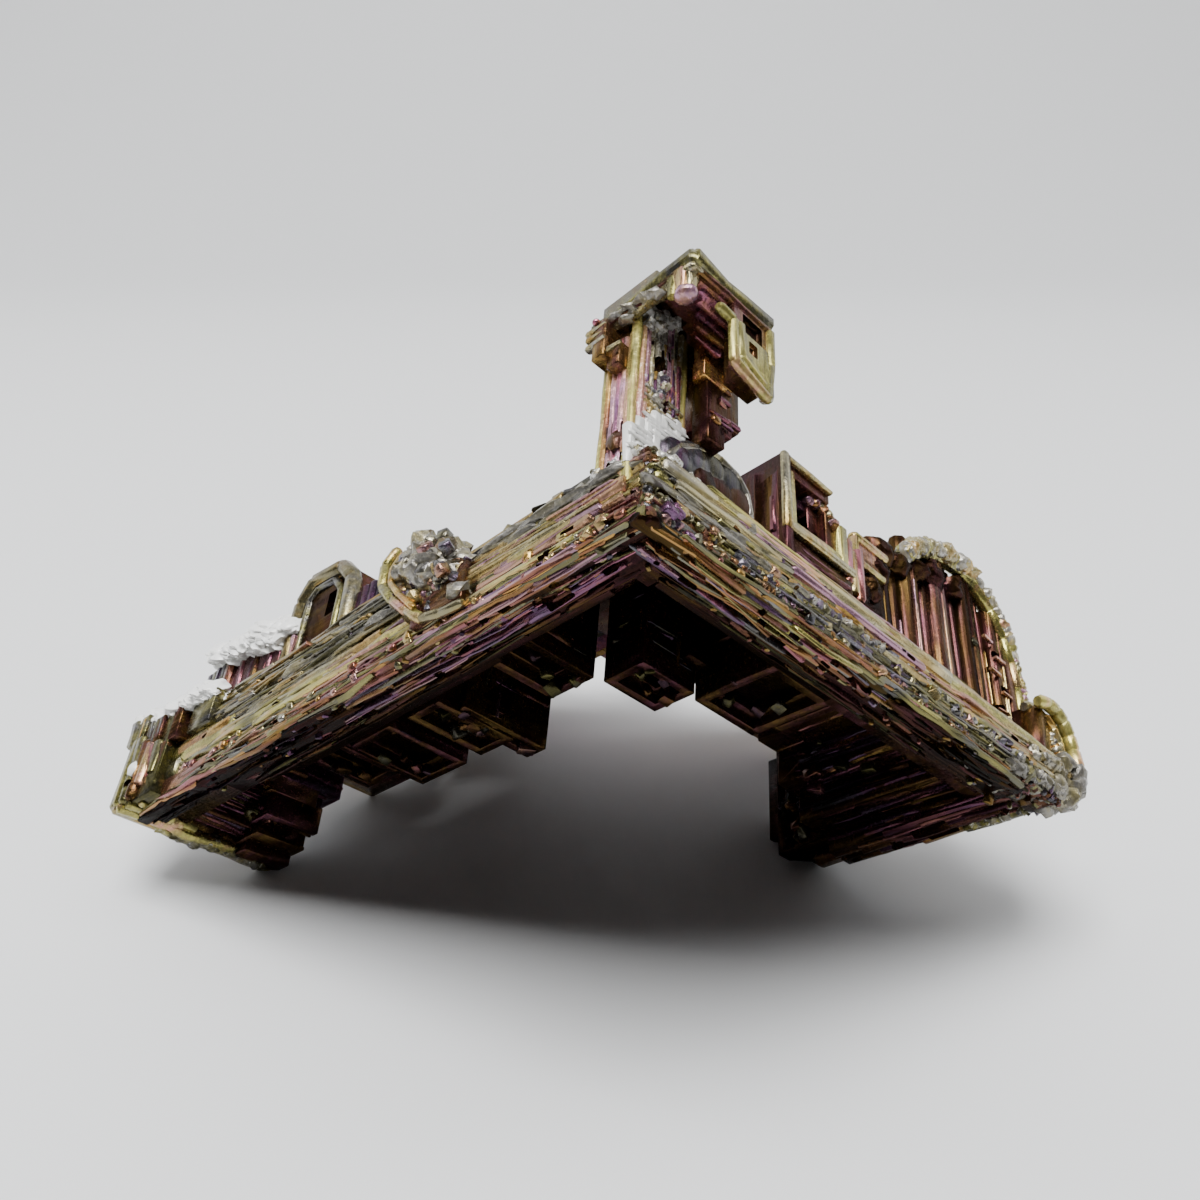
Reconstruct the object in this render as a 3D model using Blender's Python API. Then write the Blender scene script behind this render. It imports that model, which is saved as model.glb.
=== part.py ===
"""Bismuth hopper crystal: one corner of a skeletal cube with a post and a cap.

Everything is laid out in the crystal's own square axes, measured in millimetres from the cube's
corner: "right" runs along the right arm, "left" along the left arm and "post" up the post. The
whole crystal is then tilted as it lies, cut flat where its corners touch the table, and centred
over the middle of its footprint.
"""

import math
import random

import bmesh
import bpy
from mathutils import Euler, Matrix, Vector

MM = 0.001

# How the crystal lies: the turns that take its axes to the table's, and the corner's height.
TILT = Euler((math.radians(-46.3), math.radians(37.9), math.radians(25.8)), "XYZ")
CORNER_HEIGHT = 23.7

# Driving lengths of the skeleton.
LEFT_ARM = 34.2
RIGHT_ARM = 27.6
POST_TOP = 9.6
ARM_DEPTH = 3.0

# Growth steps never line up exactly: each face is off by up to this much.
GROWTH_SCATTER = 0.035
SEED = 83

# Fan of columns behind the right arm.
FAN_COLUMNS = 9
FAN_START = 14.8
FAN_PITCH = 1.2
FAN_HEIGHT = 11.9
FAN_CREST = 5
FAN_DROOP = 0.09

# Diagonal webs behind the arms.
WEB_STEPS = 9
WEB_STEP = 1.5

# Small growths scattered along the arms.
RIDGES_PER_FACE = 9
BUDS_PER_FACE = 14

# Hopper cubes that hang under the arms: spans along right, left and post.
HANGING_CUBES = [
    ((3.0, 8.5), (11.2, 13.8), (3.0, 7.4)),
    ((6.5, 11.3), (17.2, 18.5), (3.0, 8.0)),
    ((5.4, 9.7), (17.6, 19.9), (2.9, 7.5)),
    ((5.4, 9.9), (21.2, 24.6), (3.0, 7.6)),
    ((3.4, 8.3), (24.3, 26.9), (2.9, 6.6)),
    ((8.8, 11.9), (8.7, 11.0), (2.9, 8.0)),
    ((12.4, 16.2), (5.0, 9.2), (3.0, 7.8)),
    ((14.6, 18.6), (3.4, 9.8), (4.4, 9.4)),
]

# Rounded lumps of bare metal: place along right, left and post, and radius.
LEFT_KNOBS = [
    (1.6, 30.6, 8.2, 1.0),
    (2.2, 28.6, 8.3, 1.2),
    (1.9, 26.6, 8.0, 1.0),
    (1.6, 25.0, 7.7, 0.8),
    (-0.2, 34.2, 5.5, 0.8),
    (0.0, 31.2, 5.7, 0.8),
    (0.3, 28.6, 5.1, 0.7),
    (-0.3, 12.6, 4.6, 0.9),
    (-0.5, 11.0, 4.2, 0.7),
]

TABLE_CUTTER_SIZE = 90.0


def clear_scene():
    for item in list(bpy.data.objects):
        bpy.data.objects.remove(item, do_unlink=True)


def make_material():
    material = bpy.data.materials.new("oxidised_bismuth")
    material.use_nodes = True
    shader = material.node_tree.nodes["Principled BSDF"]
    shader.inputs["Base Color"].default_value = (0.42, 0.33, 0.20, 1.0)
    shader.inputs["Metallic"].default_value = 1.0
    shader.inputs["Roughness"].default_value = 0.32
    return material


class Crystal:
    """Collects square growths in crystal axes into one mesh."""

    def __init__(self):
        self.mesh = bmesh.new()
        self.random = random.Random(SEED)

    def scattered(self, span):
        low, high = span
        scatter = self.random.uniform
        return (
            low + scatter(-GROWTH_SCATTER, GROWTH_SCATTER),
            high + scatter(-GROWTH_SCATTER, GROWTH_SCATTER),
        )

    def block(self, right, left, post):
        """One square growth, given by its span along each axis."""
        spans = [self.scattered(span) for span in (right, left, post)]
        size = Vector(high - low for low, high in spans)
        middle = Vector((high + low) / 2 for low, high in spans)
        place = Matrix.Translation(middle) @ Matrix.Diagonal(size.to_4d())
        made = bmesh.ops.create_cube(self.mesh, size=1.0, matrix=place)
        return made["verts"]

    def knob(self, right, left, post, radius):
        """One rounded lump, a little squashed along each axis."""
        squash = Vector(self.random.uniform(0.7, 1.2) for _ in range(3))
        place = Matrix.Translation((right, left, post)) @ Matrix.Diagonal(squash.to_4d())
        bmesh.ops.create_icosphere(self.mesh, subdivisions=2, radius=radius, matrix=place)

    def hopper(self, right, left, post, mouths, ledge, step, steps):
        """A block with a stepped square pit sunk in each face that its mouths name."""
        corners = self.block(right, left, post)
        for mouth in mouths:
            outward = Vector(mouth)
            faces = {face for corner in corners for face in corner.link_faces}
            face = max(faces, key=lambda item: item.calc_center_median().dot(outward))
            for _ in range(steps):
                bmesh.ops.inset_individual(self.mesh, faces=[face], thickness=ledge)
                face = bmesh.ops.extrude_discrete_faces(self.mesh, faces=[face])["faces"][0]
                bmesh.ops.translate(self.mesh, verts=face.verts, vec=-outward * step)


# Faces that a pit can open from.
DOWN_POST = (0, 0, -1)
UP_POST = (0, 0, 1)
OFF_RIGHT_ARM = (0, -1, 0)
OFF_LEFT_ARM = (-1, 0, 0)
PAST_RIGHT_END = (1, 0, 0)
PAST_LEFT_END = (0, 1, 0)


def grow_left_arm(crystal):
    # Long ridges side by side; the outermost one is the cube's sharp edge.
    crystal.block((0.3, 2.3), (0.2, LEFT_ARM - 0.6), (0.3, ARM_DEPTH))
    crystal.block((0.0, 1.1), (0.0, LEFT_ARM - 0.7), (0.0, 0.9))
    crystal.block((0.12, 1.3), (1.0, LEFT_ARM - 1.3), (0.8, 1.5))
    crystal.block((0.02, 1.2), (0.4, 21.0), (1.4, 2.3))
    crystal.block((0.1, 1.5), (20.0, LEFT_ARM - 0.9), (1.45, 2.4))
    crystal.block((-0.02, 1.4), (0.5, LEFT_ARM - 0.4), (2.2, ARM_DEPTH + 0.15))
    # Broken ridges that stand up above the middle of the arm.
    crystal.block((0.2, 1.7), (13.0, 29.5), (2.9, 3.7))
    crystal.block((0.35, 1.6), (14.4, 27.6), (3.5, 4.25))
    crystal.block((0.5, 1.9), (16.4, 26.2), (4.1, 4.8))
    crystal.block((0.05, 1.6), (25.6, LEFT_ARM - 0.9), (2.95, 4.15))
    # Steps under the arm, narrower towards the end.
    crystal.block((0.9, 2.15), (0.6, 27.0), (0.06, 1.2))
    crystal.block((1.8, 2.7), (4.0, 25.6), (0.35, 2.0))
    crystal.block((2.4, 3.25), (10.5, 24.4), (0.7, 2.6))


def grow_right_arm(crystal):
    crystal.block((0.2, RIGHT_ARM - 1.4), (0.3, 2.0), (0.3, ARM_DEPTH - 0.2))
    crystal.block((0.0, RIGHT_ARM - 2.9), (0.0, 1.0), (0.0, 0.8))
    crystal.block((0.8, RIGHT_ARM - 1.2), (0.12, 1.2), (0.7, 1.5))
    crystal.block((0.5, RIGHT_ARM - 0.5), (0.0, 1.1), (1.4, 2.2))
    crystal.block((0.4, RIGHT_ARM - 0.2), (0.06, 1.4), (2.1, ARM_DEPTH - 0.05))
    # Steps under the arm, narrower towards the end.
    crystal.block((0.6, 22.0), (0.8, 1.7), (0.08, 1.1))
    crystal.block((2.2, 16.4), (1.6, 2.4), (0.3, 1.9))
    crystal.block((3.4, 12.4), (2.2, 2.95), (0.6, 2.4))


def grow_post(crystal):
    crystal.block((0.12, 2.6), (1.1, 2.1), (2.4, POST_TOP))
    crystal.block((0.0, 0.9), (1.0, 2.0), (1.6, POST_TOP))
    crystal.block((1.9, 2.72), (1.02, 2.4), (1.8, POST_TOP))
    crystal.block((0.8, 2.3), (1.06, 2.6), (2.0, POST_TOP - 1.2))
    crystal.block((0.05, 1.6), (1.2, 2.5), (2.2, 5.2))
    # The foot of the post, where the three edges of the cube meet.
    crystal.block((0.05, 3.1), (0.1, 2.9), (0.1, 3.3))
    crystal.block((0.3, 2.3), (0.6, 2.6), (3.0, 4.0))


def grow_cap(crystal):
    # A small hopper that hangs over the post, with a staircase at its low corner.
    crystal.hopper((-0.4, 3.75), (-1.5, 2.3), (8.1, 10.4), [DOWN_POST], 0.4, 0.4, 3)
    # Rims that stand out round the recess in its right face.
    crystal.block((-0.5, 3.85), (-2.1, -1.3), (9.8, 10.45))
    crystal.block((-0.5, 0.15), (-2.05, -1.2), (8.15, 10.3))
    crystal.block((3.3, 3.8), (-2.15, -1.25), (6.5, 10.35))
    crystal.block((2.3, 3.5), (-1.95, -0.9), (6.4, 9.0))
    # Plates over it and under it.
    crystal.block((-0.55, 3.0), (0.5, 2.95), (9.75, 10.4))
    crystal.block((0.8, 3.7), (-1.6, 2.4), (10.3, 11.2))
    crystal.block((-0.35, 3.0), (-0.2, 2.5), (10.3, 11.1))
    crystal.block((3.4, 4.75), (0.3, 2.3), (7.3, 9.2))
    crystal.block((2.9, 4.0), (1.4, 2.6), (7.4, 8.8))
    crystal.block((3.5, 4.4), (-1.2, 0.6), (8.4, 10.0))
    crystal.block((-0.62, 0.2), (0.8, 1.8), (7.3, 8.7))
    crystal.block((-0.7, 0.4), (1.9, 2.5), (8.0, 9.8))


def grow_left_end(crystal):
    # Rim and terraces of the end wall, seen into from below.
    crystal.block((-0.4, 7.6), (32.6, LEFT_ARM - 0.1), (0.0, 1.2))
    crystal.block((0.6, 8.0), (31.8, 33.8), (1.0, 2.3))
    crystal.block((1.0, 8.2), (30.9, 33.6), (2.1, 3.5))
    crystal.block((1.4, 8.6), (29.9, 33.4), (3.3, 5.2))
    crystal.block((2.0, 9.0), (29.2, 33.6), (5.0, 7.2))
    # The block that the rim ends in.
    crystal.block((4.8, 7.5), (29.9, 33.6), (2.4, 4.8))
    crystal.block((5.0, 8.0), (30.0, 33.6), (1.2, 2.6))
    crystal.block((5.2, 8.0), (31.0, 33.7), (0.6, 1.4))
    crystal.block((5.4, 8.0), (32.2, 33.8), (0.05, 0.8))
    # Steps that carry the wall back down to the table.
    crystal.hopper((6.6, 12.9), (30.4, 34.1), (6.5, 11.2), [PAST_LEFT_END], 0.6, 0.6, 3)
    crystal.block((10.8, 16.4), (30.8, 33.9), (10.3, 14.2))
    # Nose and the small blocks on top of the arm's end.
    crystal.block((-1.0, 1.2), (30.6, 32.9), (0.1, 1.9))
    crystal.block((-1.05, 1.0), (31.2, 34.1), (1.6, 3.6))
    crystal.block((-0.7, 1.1), (30.8, 34.8), (0.5, 3.7))
    crystal.block((-1.0, 0.8), (33.0, 35.2), (3.2, 5.3))
    crystal.block((-0.9, 0.7), (31.2, 33.3), (3.1, 4.7))
    crystal.block((-0.7, 1.0), (29.8, 32.0), (3.8, 5.4))
    crystal.block((-0.3, 1.2), (27.4, 29.4), (3.8, 4.9))


def grow_left_top(crystal):
    # Block with a bare lumpy top, a square hopper behind it, and a plate beside the post.
    crystal.block((0.9, 3.6), (24.6, 32.0), (2.6, 7.9))
    crystal.hopper((1.2, 3.4), (20.3, 23.6), (2.0, 9.5), [OFF_LEFT_ARM], 0.45, 0.4, 3)
    crystal.block((1.6, 3.8), (18.4, 20.6), (2.0, 7.8))
    crystal.block((1.7, 3.7), (23.4, 27.2), (2.0, 8.4))
    crystal.block((0.8, 2.4), (2.6, 6.9), (2.6, 4.8))
    crystal.block((1.2, 2.6), (5.4, 8.4), (2.6, 4.5))
    for right, left, post, size in LEFT_KNOBS:
        crystal.knob(right, left, post, size)
    # A small cube grown out of the side of the arm.
    crystal.hopper((-1.3, 0.8), (9.2, 12.0), (1.6, 4.0), [DOWN_POST], 0.3, 0.25, 2)
    crystal.block((-0.6, 1.2), (10.6, 13.0), (3.0, 4.6))
    crystal.block((-0.4, 1.2), (11.2, 12.5), (4.2, 5.3))


def grow_right_top(crystal):
    crystal.hopper((1.8, 5.9), (0.4, 2.8), (2.4, 5.0), [OFF_RIGHT_ARM], 0.35, 0.4, 3)
    crystal.block((2.3, 4.9), (0.7, 2.6), (4.8, 5.5))
    crystal.hopper((7.6, 11.7), (0.5, 3.0), (2.4, 8.5), [OFF_RIGHT_ARM], 0.45, 0.45, 3)
    crystal.block((11.4, 13.4), (0.9, 2.8), (2.4, 6.9))
    crystal.block((12.8, 15.4), (1.1, 3.2), (2.4, 8.5))
    # Fan of columns that rises behind the right arm.
    for column in range(FAN_COLUMNS):
        start = FAN_START + FAN_PITCH * column
        height = FAN_HEIGHT - FAN_DROOP * (column - FAN_CREST) ** 2
        front = 1.5 + 0.35 * (column % 2)
        crystal.block((start, start + FAN_PITCH + 0.1), (front, 4.4), (2.2, height))
    crystal.block((25.4, 26.5), (1.3, 4.0), (2.2, 8.6))
    crystal.hopper((24.9, 27.8), (0.1, 2.4), (2.4, 5.9), [OFF_RIGHT_ARM], 0.35, 0.45, 2)
    crystal.block((25.6, 27.7), (-0.2, 1.4), (1.4, 3.5))
    crystal.knob(27.2, 0.6, 2.6, 0.8)
    crystal.knob(26.3, 0.1, 2.2, 0.6)


def grow_right_end(crystal):
    # Rim and terraces of the end wall under the right arm.
    crystal.block((25.4, RIGHT_ARM - 0.3), (0.6, 12.2), (1.6, 3.2))
    crystal.block((24.2, 27.1), (0.8, 13.0), (3.0, 4.6))
    crystal.block((22.6, 27.0), (1.0, 13.0), (4.4, 6.2))
    crystal.block((20.8, 26.6), (1.4, 12.8), (6.0, 7.8))
    crystal.block((18.6, 26.2), (2.0, 12.4), (7.6, 9.6))
    crystal.block((17.0, 22.0), (2.4, 11.6), (9.0, 11.0))
    # The corner that it stands on.
    crystal.block((25.7, 27.8), (11.8, 15.5), (2.5, 10.2))
    crystal.block((26.4, 28.2), (12.8, 16.6), (3.9, 8.8))


def grow_hanging_cubes(crystal):
    for right, left, post in HANGING_CUBES:
        crystal.hopper(right, left, post, [DOWN_POST], 0.45, 0.45, 2)


def grow_webs(crystal):
    """Step back from each arm, along the cube's diagonal, towards its middle."""
    for step in range(WEB_STEPS):
        back = 1.6 + WEB_STEP * step
        near = (back, back + WEB_STEP + 0.4)
        rise = (back + 0.2, back + WEB_STEP + 0.6)
        crystal.block(near, (back + 0.4, 31.0 - 0.35 * step), rise)
        crystal.block((back + 0.9, 24.5 + 0.3 * step), near, rise)


def grow_root(crystal):
    """The thick middle that the webs meet in, and the feet it stands on at the back."""
    crystal.block((13.0, 20.5), (13.0, 21.0), (14.5, 17.5))
    crystal.hopper((13.0, 20.0), (20.0, 29.4), (15.3, 21.6), [UP_POST], 0.8, 0.7, 3)
    crystal.hopper((16.0, 22.0), (18.1, 24.0), (15.6, 21.2), [UP_POST], 0.7, 0.7, 3)
    crystal.hopper((20.0, 28.4), (12.6, 19.0), (13.9, 19.6), [UP_POST], 0.8, 0.7, 3)
    crystal.hopper((15.0, 20.4), (29.0, 33.9), (14.2, 19.0), [PAST_LEFT_END], 0.6, 0.6, 3)
    crystal.block((11.0, 17.0), (28.2, 31.8), (12.6, 17.4))
    crystal.hopper((26.0, 31.8), (14.4, 19.0), (12.1, 17.0), [PAST_RIGHT_END], 0.6, 0.6, 3)
    crystal.block((24.6, 28.4), (12.6, 16.4), (9.6, 14.4))
    crystal.block((18.4, 22.6), (19.6, 24.6), (20.2, 22.4))
    crystal.block((21.4, 25.6), (13.4, 17.0), (18.0, 20.0))


def grow_broken_ridges(crystal):
    """Short raised lengths of ridge, scattered along both arms' faces."""
    draw = crystal.random.uniform
    for _ in range(RIDGES_PER_FACE):
        for arm_length, on_left_arm in ((LEFT_ARM - 3.0, True), (RIGHT_ARM - 3.4, False)):
            start = draw(1.0, arm_length - 5.0)
            along = (start, start + draw(2.0, 5.0))
            post = draw(0.2, ARM_DEPTH - 0.5)
            under = draw(0.3, 1.7)
            side_ridge = ((-draw(0.08, 0.2), 0.5), (post, post + draw(0.2, 0.45)))
            low_ridge = ((under, under + draw(0.2, 0.45)), (-draw(0.05, 0.18), 0.6))
            for across, rise in (side_ridge, low_ridge):
                if on_left_arm:
                    crystal.block(across, along, rise)
                else:
                    crystal.block(along, across, rise)


def grow_buds(crystal):
    """Small cubes grown on both arms' faces."""
    draw = crystal.random.uniform
    for _ in range(BUDS_PER_FACE):
        for arm_length, on_left_arm in ((LEFT_ARM - 2.0, True), (RIGHT_ARM - 2.0, False)):
            size = draw(0.3, 0.7)
            start = draw(0.8, arm_length - 1.0)
            along = (start, start + size * draw(0.8, 1.6))
            post = draw(0.1, ARM_DEPTH - 0.6)
            under = draw(0.1, 1.8)
            side_bud = ((-draw(0.12, 0.34), 0.6), (post, post + size))
            low_bud = ((under, under + size), (-draw(0.1, 0.3), 0.8))
            for across, rise in (side_bud, low_bud):
                if on_left_arm:
                    crystal.block(across, along, rise)
                else:
                    crystal.block(along, across, rise)


def grown_shape():
    crystal = Crystal()
    grow_left_arm(crystal)
    grow_right_arm(crystal)
    grow_post(crystal)
    grow_cap(crystal)
    grow_left_end(crystal)
    grow_left_top(crystal)
    grow_right_top(crystal)
    grow_right_end(crystal)
    grow_hanging_cubes(crystal)
    grow_webs(crystal)
    grow_root(crystal)
    grow_broken_ridges(crystal)
    grow_buds(crystal)
    lie = Matrix.Translation((0, 0, CORNER_HEIGHT)) @ TILT.to_matrix().to_4x4()
    bmesh.ops.transform(crystal.mesh, matrix=Matrix.Scale(MM, 4) @ lie, verts=crystal.mesh.verts)
    mesh = bpy.data.meshes.new("growths")
    crystal.mesh.to_mesh(mesh)
    crystal.mesh.free()
    return mesh


def make_table_cutter(collection):
    bpy.ops.mesh.primitive_cube_add(size=TABLE_CUTTER_SIZE * MM)
    table = bpy.context.active_object
    table.name = "table_cutter"
    table.location = (0, 0, -TABLE_CUTTER_SIZE * MM / 2)
    table.hide_render = True
    table.display_type = "WIRE"
    for owner in list(table.users_collection):
        owner.objects.unlink(table)
    collection.objects.link(table)
    return table


def join_growths(part, table):
    """Join the overlapping growths into one solid, cut flat where it meets the table."""
    join = part.modifiers.new("join_and_cut", "BOOLEAN")
    join.operation = "DIFFERENCE"
    join.object = table
    join.solver = "EXACT"
    join.use_self = True
    depsgraph = bpy.context.evaluated_depsgraph_get()
    joined = bpy.data.meshes.new_from_object(part.evaluated_get(depsgraph))
    part.modifiers.remove(join)
    part.data = joined
    joined.name = part.name


def keep_outer_skin(mesh):
    """Drop the skins of hollows that growths closed off: keep the skin that reaches furthest."""
    shape = bmesh.new()
    shape.from_mesh(mesh)
    skins = []
    waiting = set(shape.verts)
    while waiting:
        skin = set()
        edge_of_skin = [waiting.pop()]
        while edge_of_skin:
            corner = edge_of_skin.pop()
            skin.add(corner)
            beside = {edge.other_vert(corner) for edge in corner.link_edges} & waiting
            waiting -= beside
            edge_of_skin.extend(beside)
        skins.append(skin)
    outer = max(skins, key=lambda skin: max(corner.co.z for corner in skin))
    inner = [corner for skin in skins if skin is not outer for corner in skin]
    bmesh.ops.delete(shape, geom=inner, context="VERTS")
    shape.to_mesh(mesh)
    shape.free()


def centre_over_footprint(mesh):
    lows = [min(corner.co[axis] for corner in mesh.vertices) for axis in range(3)]
    highs = [max(corner.co[axis] for corner in mesh.vertices) for axis in range(3)]
    middle = Vector((lows[0] + highs[0], lows[1] + highs[1], 0)) / 2
    mesh.transform(Matrix.Translation(-middle))


clear_scene()
parts = bpy.data.collections.new("bismuth hopper crystal")
cutters = bpy.data.collections.new("cutters")
bpy.context.scene.collection.children.link(parts)
bpy.context.scene.collection.children.link(cutters)
crystal_part = bpy.data.objects.new("bismuth_crystal", grown_shape())
parts.objects.link(crystal_part)
join_growths(crystal_part, make_table_cutter(cutters))
keep_outer_skin(crystal_part.data)
centre_over_footprint(crystal_part.data)
crystal_part.data.materials.clear()
crystal_part.data.materials.append(make_material())
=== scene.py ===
"""Looks of the bismuth hopper crystal: its fine growth, its oxide film, the light and the camera.

The crystal is laid out in its own square axes, in millimetres from the cube's corner: "right"
runs along the right arm, "left" along the left arm and "post" up the post. Each region of it is
one piece, made of many square growths that are fused into one skin.
"""

import math
import random

import bmesh
import bpy
import numpy as np
from mathutils import Euler, Matrix, Vector, noise


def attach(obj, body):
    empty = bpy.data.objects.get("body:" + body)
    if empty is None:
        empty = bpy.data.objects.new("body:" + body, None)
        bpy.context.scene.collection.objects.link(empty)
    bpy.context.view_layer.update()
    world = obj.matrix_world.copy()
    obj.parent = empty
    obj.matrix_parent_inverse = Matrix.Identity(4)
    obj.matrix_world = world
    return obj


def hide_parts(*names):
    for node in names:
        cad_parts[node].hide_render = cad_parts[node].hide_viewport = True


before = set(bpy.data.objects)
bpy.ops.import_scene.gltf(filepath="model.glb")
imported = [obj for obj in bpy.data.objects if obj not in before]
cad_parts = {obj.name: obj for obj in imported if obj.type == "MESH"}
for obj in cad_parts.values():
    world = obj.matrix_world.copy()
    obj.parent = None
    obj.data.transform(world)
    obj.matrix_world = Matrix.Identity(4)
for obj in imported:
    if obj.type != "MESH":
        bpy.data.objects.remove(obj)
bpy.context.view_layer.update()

NODE = "bismuth_crystal"
SLOT = "oxidised_bismuth"
MM = 0.001

# How the crystal lies, and where the cube's corner is in the part's frame.
TILT = Euler((math.radians(-46.3), math.radians(37.9), math.radians(25.8)), "XYZ")
CORNER = Vector((2.536, -18.748, 23.7))
CRYSTAL_TO_PART = Matrix.Scale(MM, 4) @ Matrix.Translation(CORNER) @ TILT.to_matrix().to_4x4()

# Axes of the crystal by number.
RIGHT, LEFT, POST = 0, 1, 2

# Lengths of the arms and the post, the arms' depth, and from where the left one's side rounds off.
LEFT_ARM = 34.2
RIGHT_ARM = 27.6
POST_TOP = 10.9
ARM_DEPTH = 3.0
ARM_SHOULDER = 2.6

TABLE_CUT = 40.0

# Cut edge of a block, how far it leans out of square, and how long a rod's tapered ends are.
CHAMFER = 0.045
LEAN = 0.006
TAPER = 0.12

# Corners round a rod or a beam, and the largest bend that is shaded smooth.
SIDES = 8
CREASE = math.radians(52)

# Lumps larger than this get a finer mesh.
LARGE = 0.5

# A growth is bare metal from 0.5, and white crust at 2, whose white is a painted highlight.
PAINTED_HIGHLIGHT = 2.0

# Oxide film: thickness from 0 to 1, and its colour there.
SILVER, STRAW, GOLD, COPPER, ROSE, VIOLET, STEEL, OLIVE, LIME, PEACH, MAUVE = (
    0.0, 0.1, 0.2, 0.3, 0.4, 0.5, 0.6, 0.7, 0.8, 0.9, 1.0,
)
FILM_COLOURS = [
    (SILVER, (0.38, 0.36, 0.33)),
    (STRAW, (0.46, 0.40, 0.20)),
    (GOLD, (0.50, 0.30, 0.07)),
    (COPPER, (0.28, 0.12, 0.055)),
    (ROSE, (0.42, 0.14, 0.19)),
    (VIOLET, (0.21, 0.09, 0.20)),
    (STEEL, (0.17, 0.165, 0.19)),
    (OLIVE, (0.22, 0.20, 0.08)),
    (LIME, (0.47, 0.42, 0.12)),
    (PEACH, (0.58, 0.32, 0.19)),
    (MAUVE, (0.40, 0.22, 0.32)),
]


def mesh_of(shape):
    """The places of a shape's corners and the corners of its faces; the shape is freed."""
    places = np.array([corner.co for corner in shape.verts])
    faces = [[corner.index for corner in face.verts] for face in shape.faces]
    shape.free()
    return places, faces


def chamfered_cube():
    """A cube with cut edges: each corner's signs, which of its coordinates are cut back, faces."""
    shape = bmesh.new()
    bmesh.ops.create_cube(shape, size=2.0)
    bmesh.ops.bevel(shape, geom=shape.edges[:], offset=0.5, segments=1, affect="EDGES")
    places, faces = mesh_of(shape)
    return np.sign(places), (np.abs(places) < 0.75).astype(float), faces


def round_lump(subdivisions):
    shape = bmesh.new()
    bmesh.ops.create_icosphere(shape, subdivisions=subdivisions, radius=1.0)
    return mesh_of(shape)


def tube_faces(rings):
    """Faces of a closed tube with eight corners in each ring; the last two are its flat ends."""
    faces = [
        [first + side, first + (side + 1) % SIDES, first + SIDES + (side + 1) % SIDES, first + SIDES + side]
        for first in range(0, (rings - 1) * SIDES, SIDES)
        for side in range(SIDES)
    ]
    return faces + [list(range(SIDES - 1, -1, -1)), list(range((rings - 1) * SIDES, rings * SIDES))]


CUBE_SIGNS, CUBE_CUTS, CUBE_FACES = chamfered_cube()
SMALL_LUMP, LARGE_LUMP = round_lump(2), round_lump(3)


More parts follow.
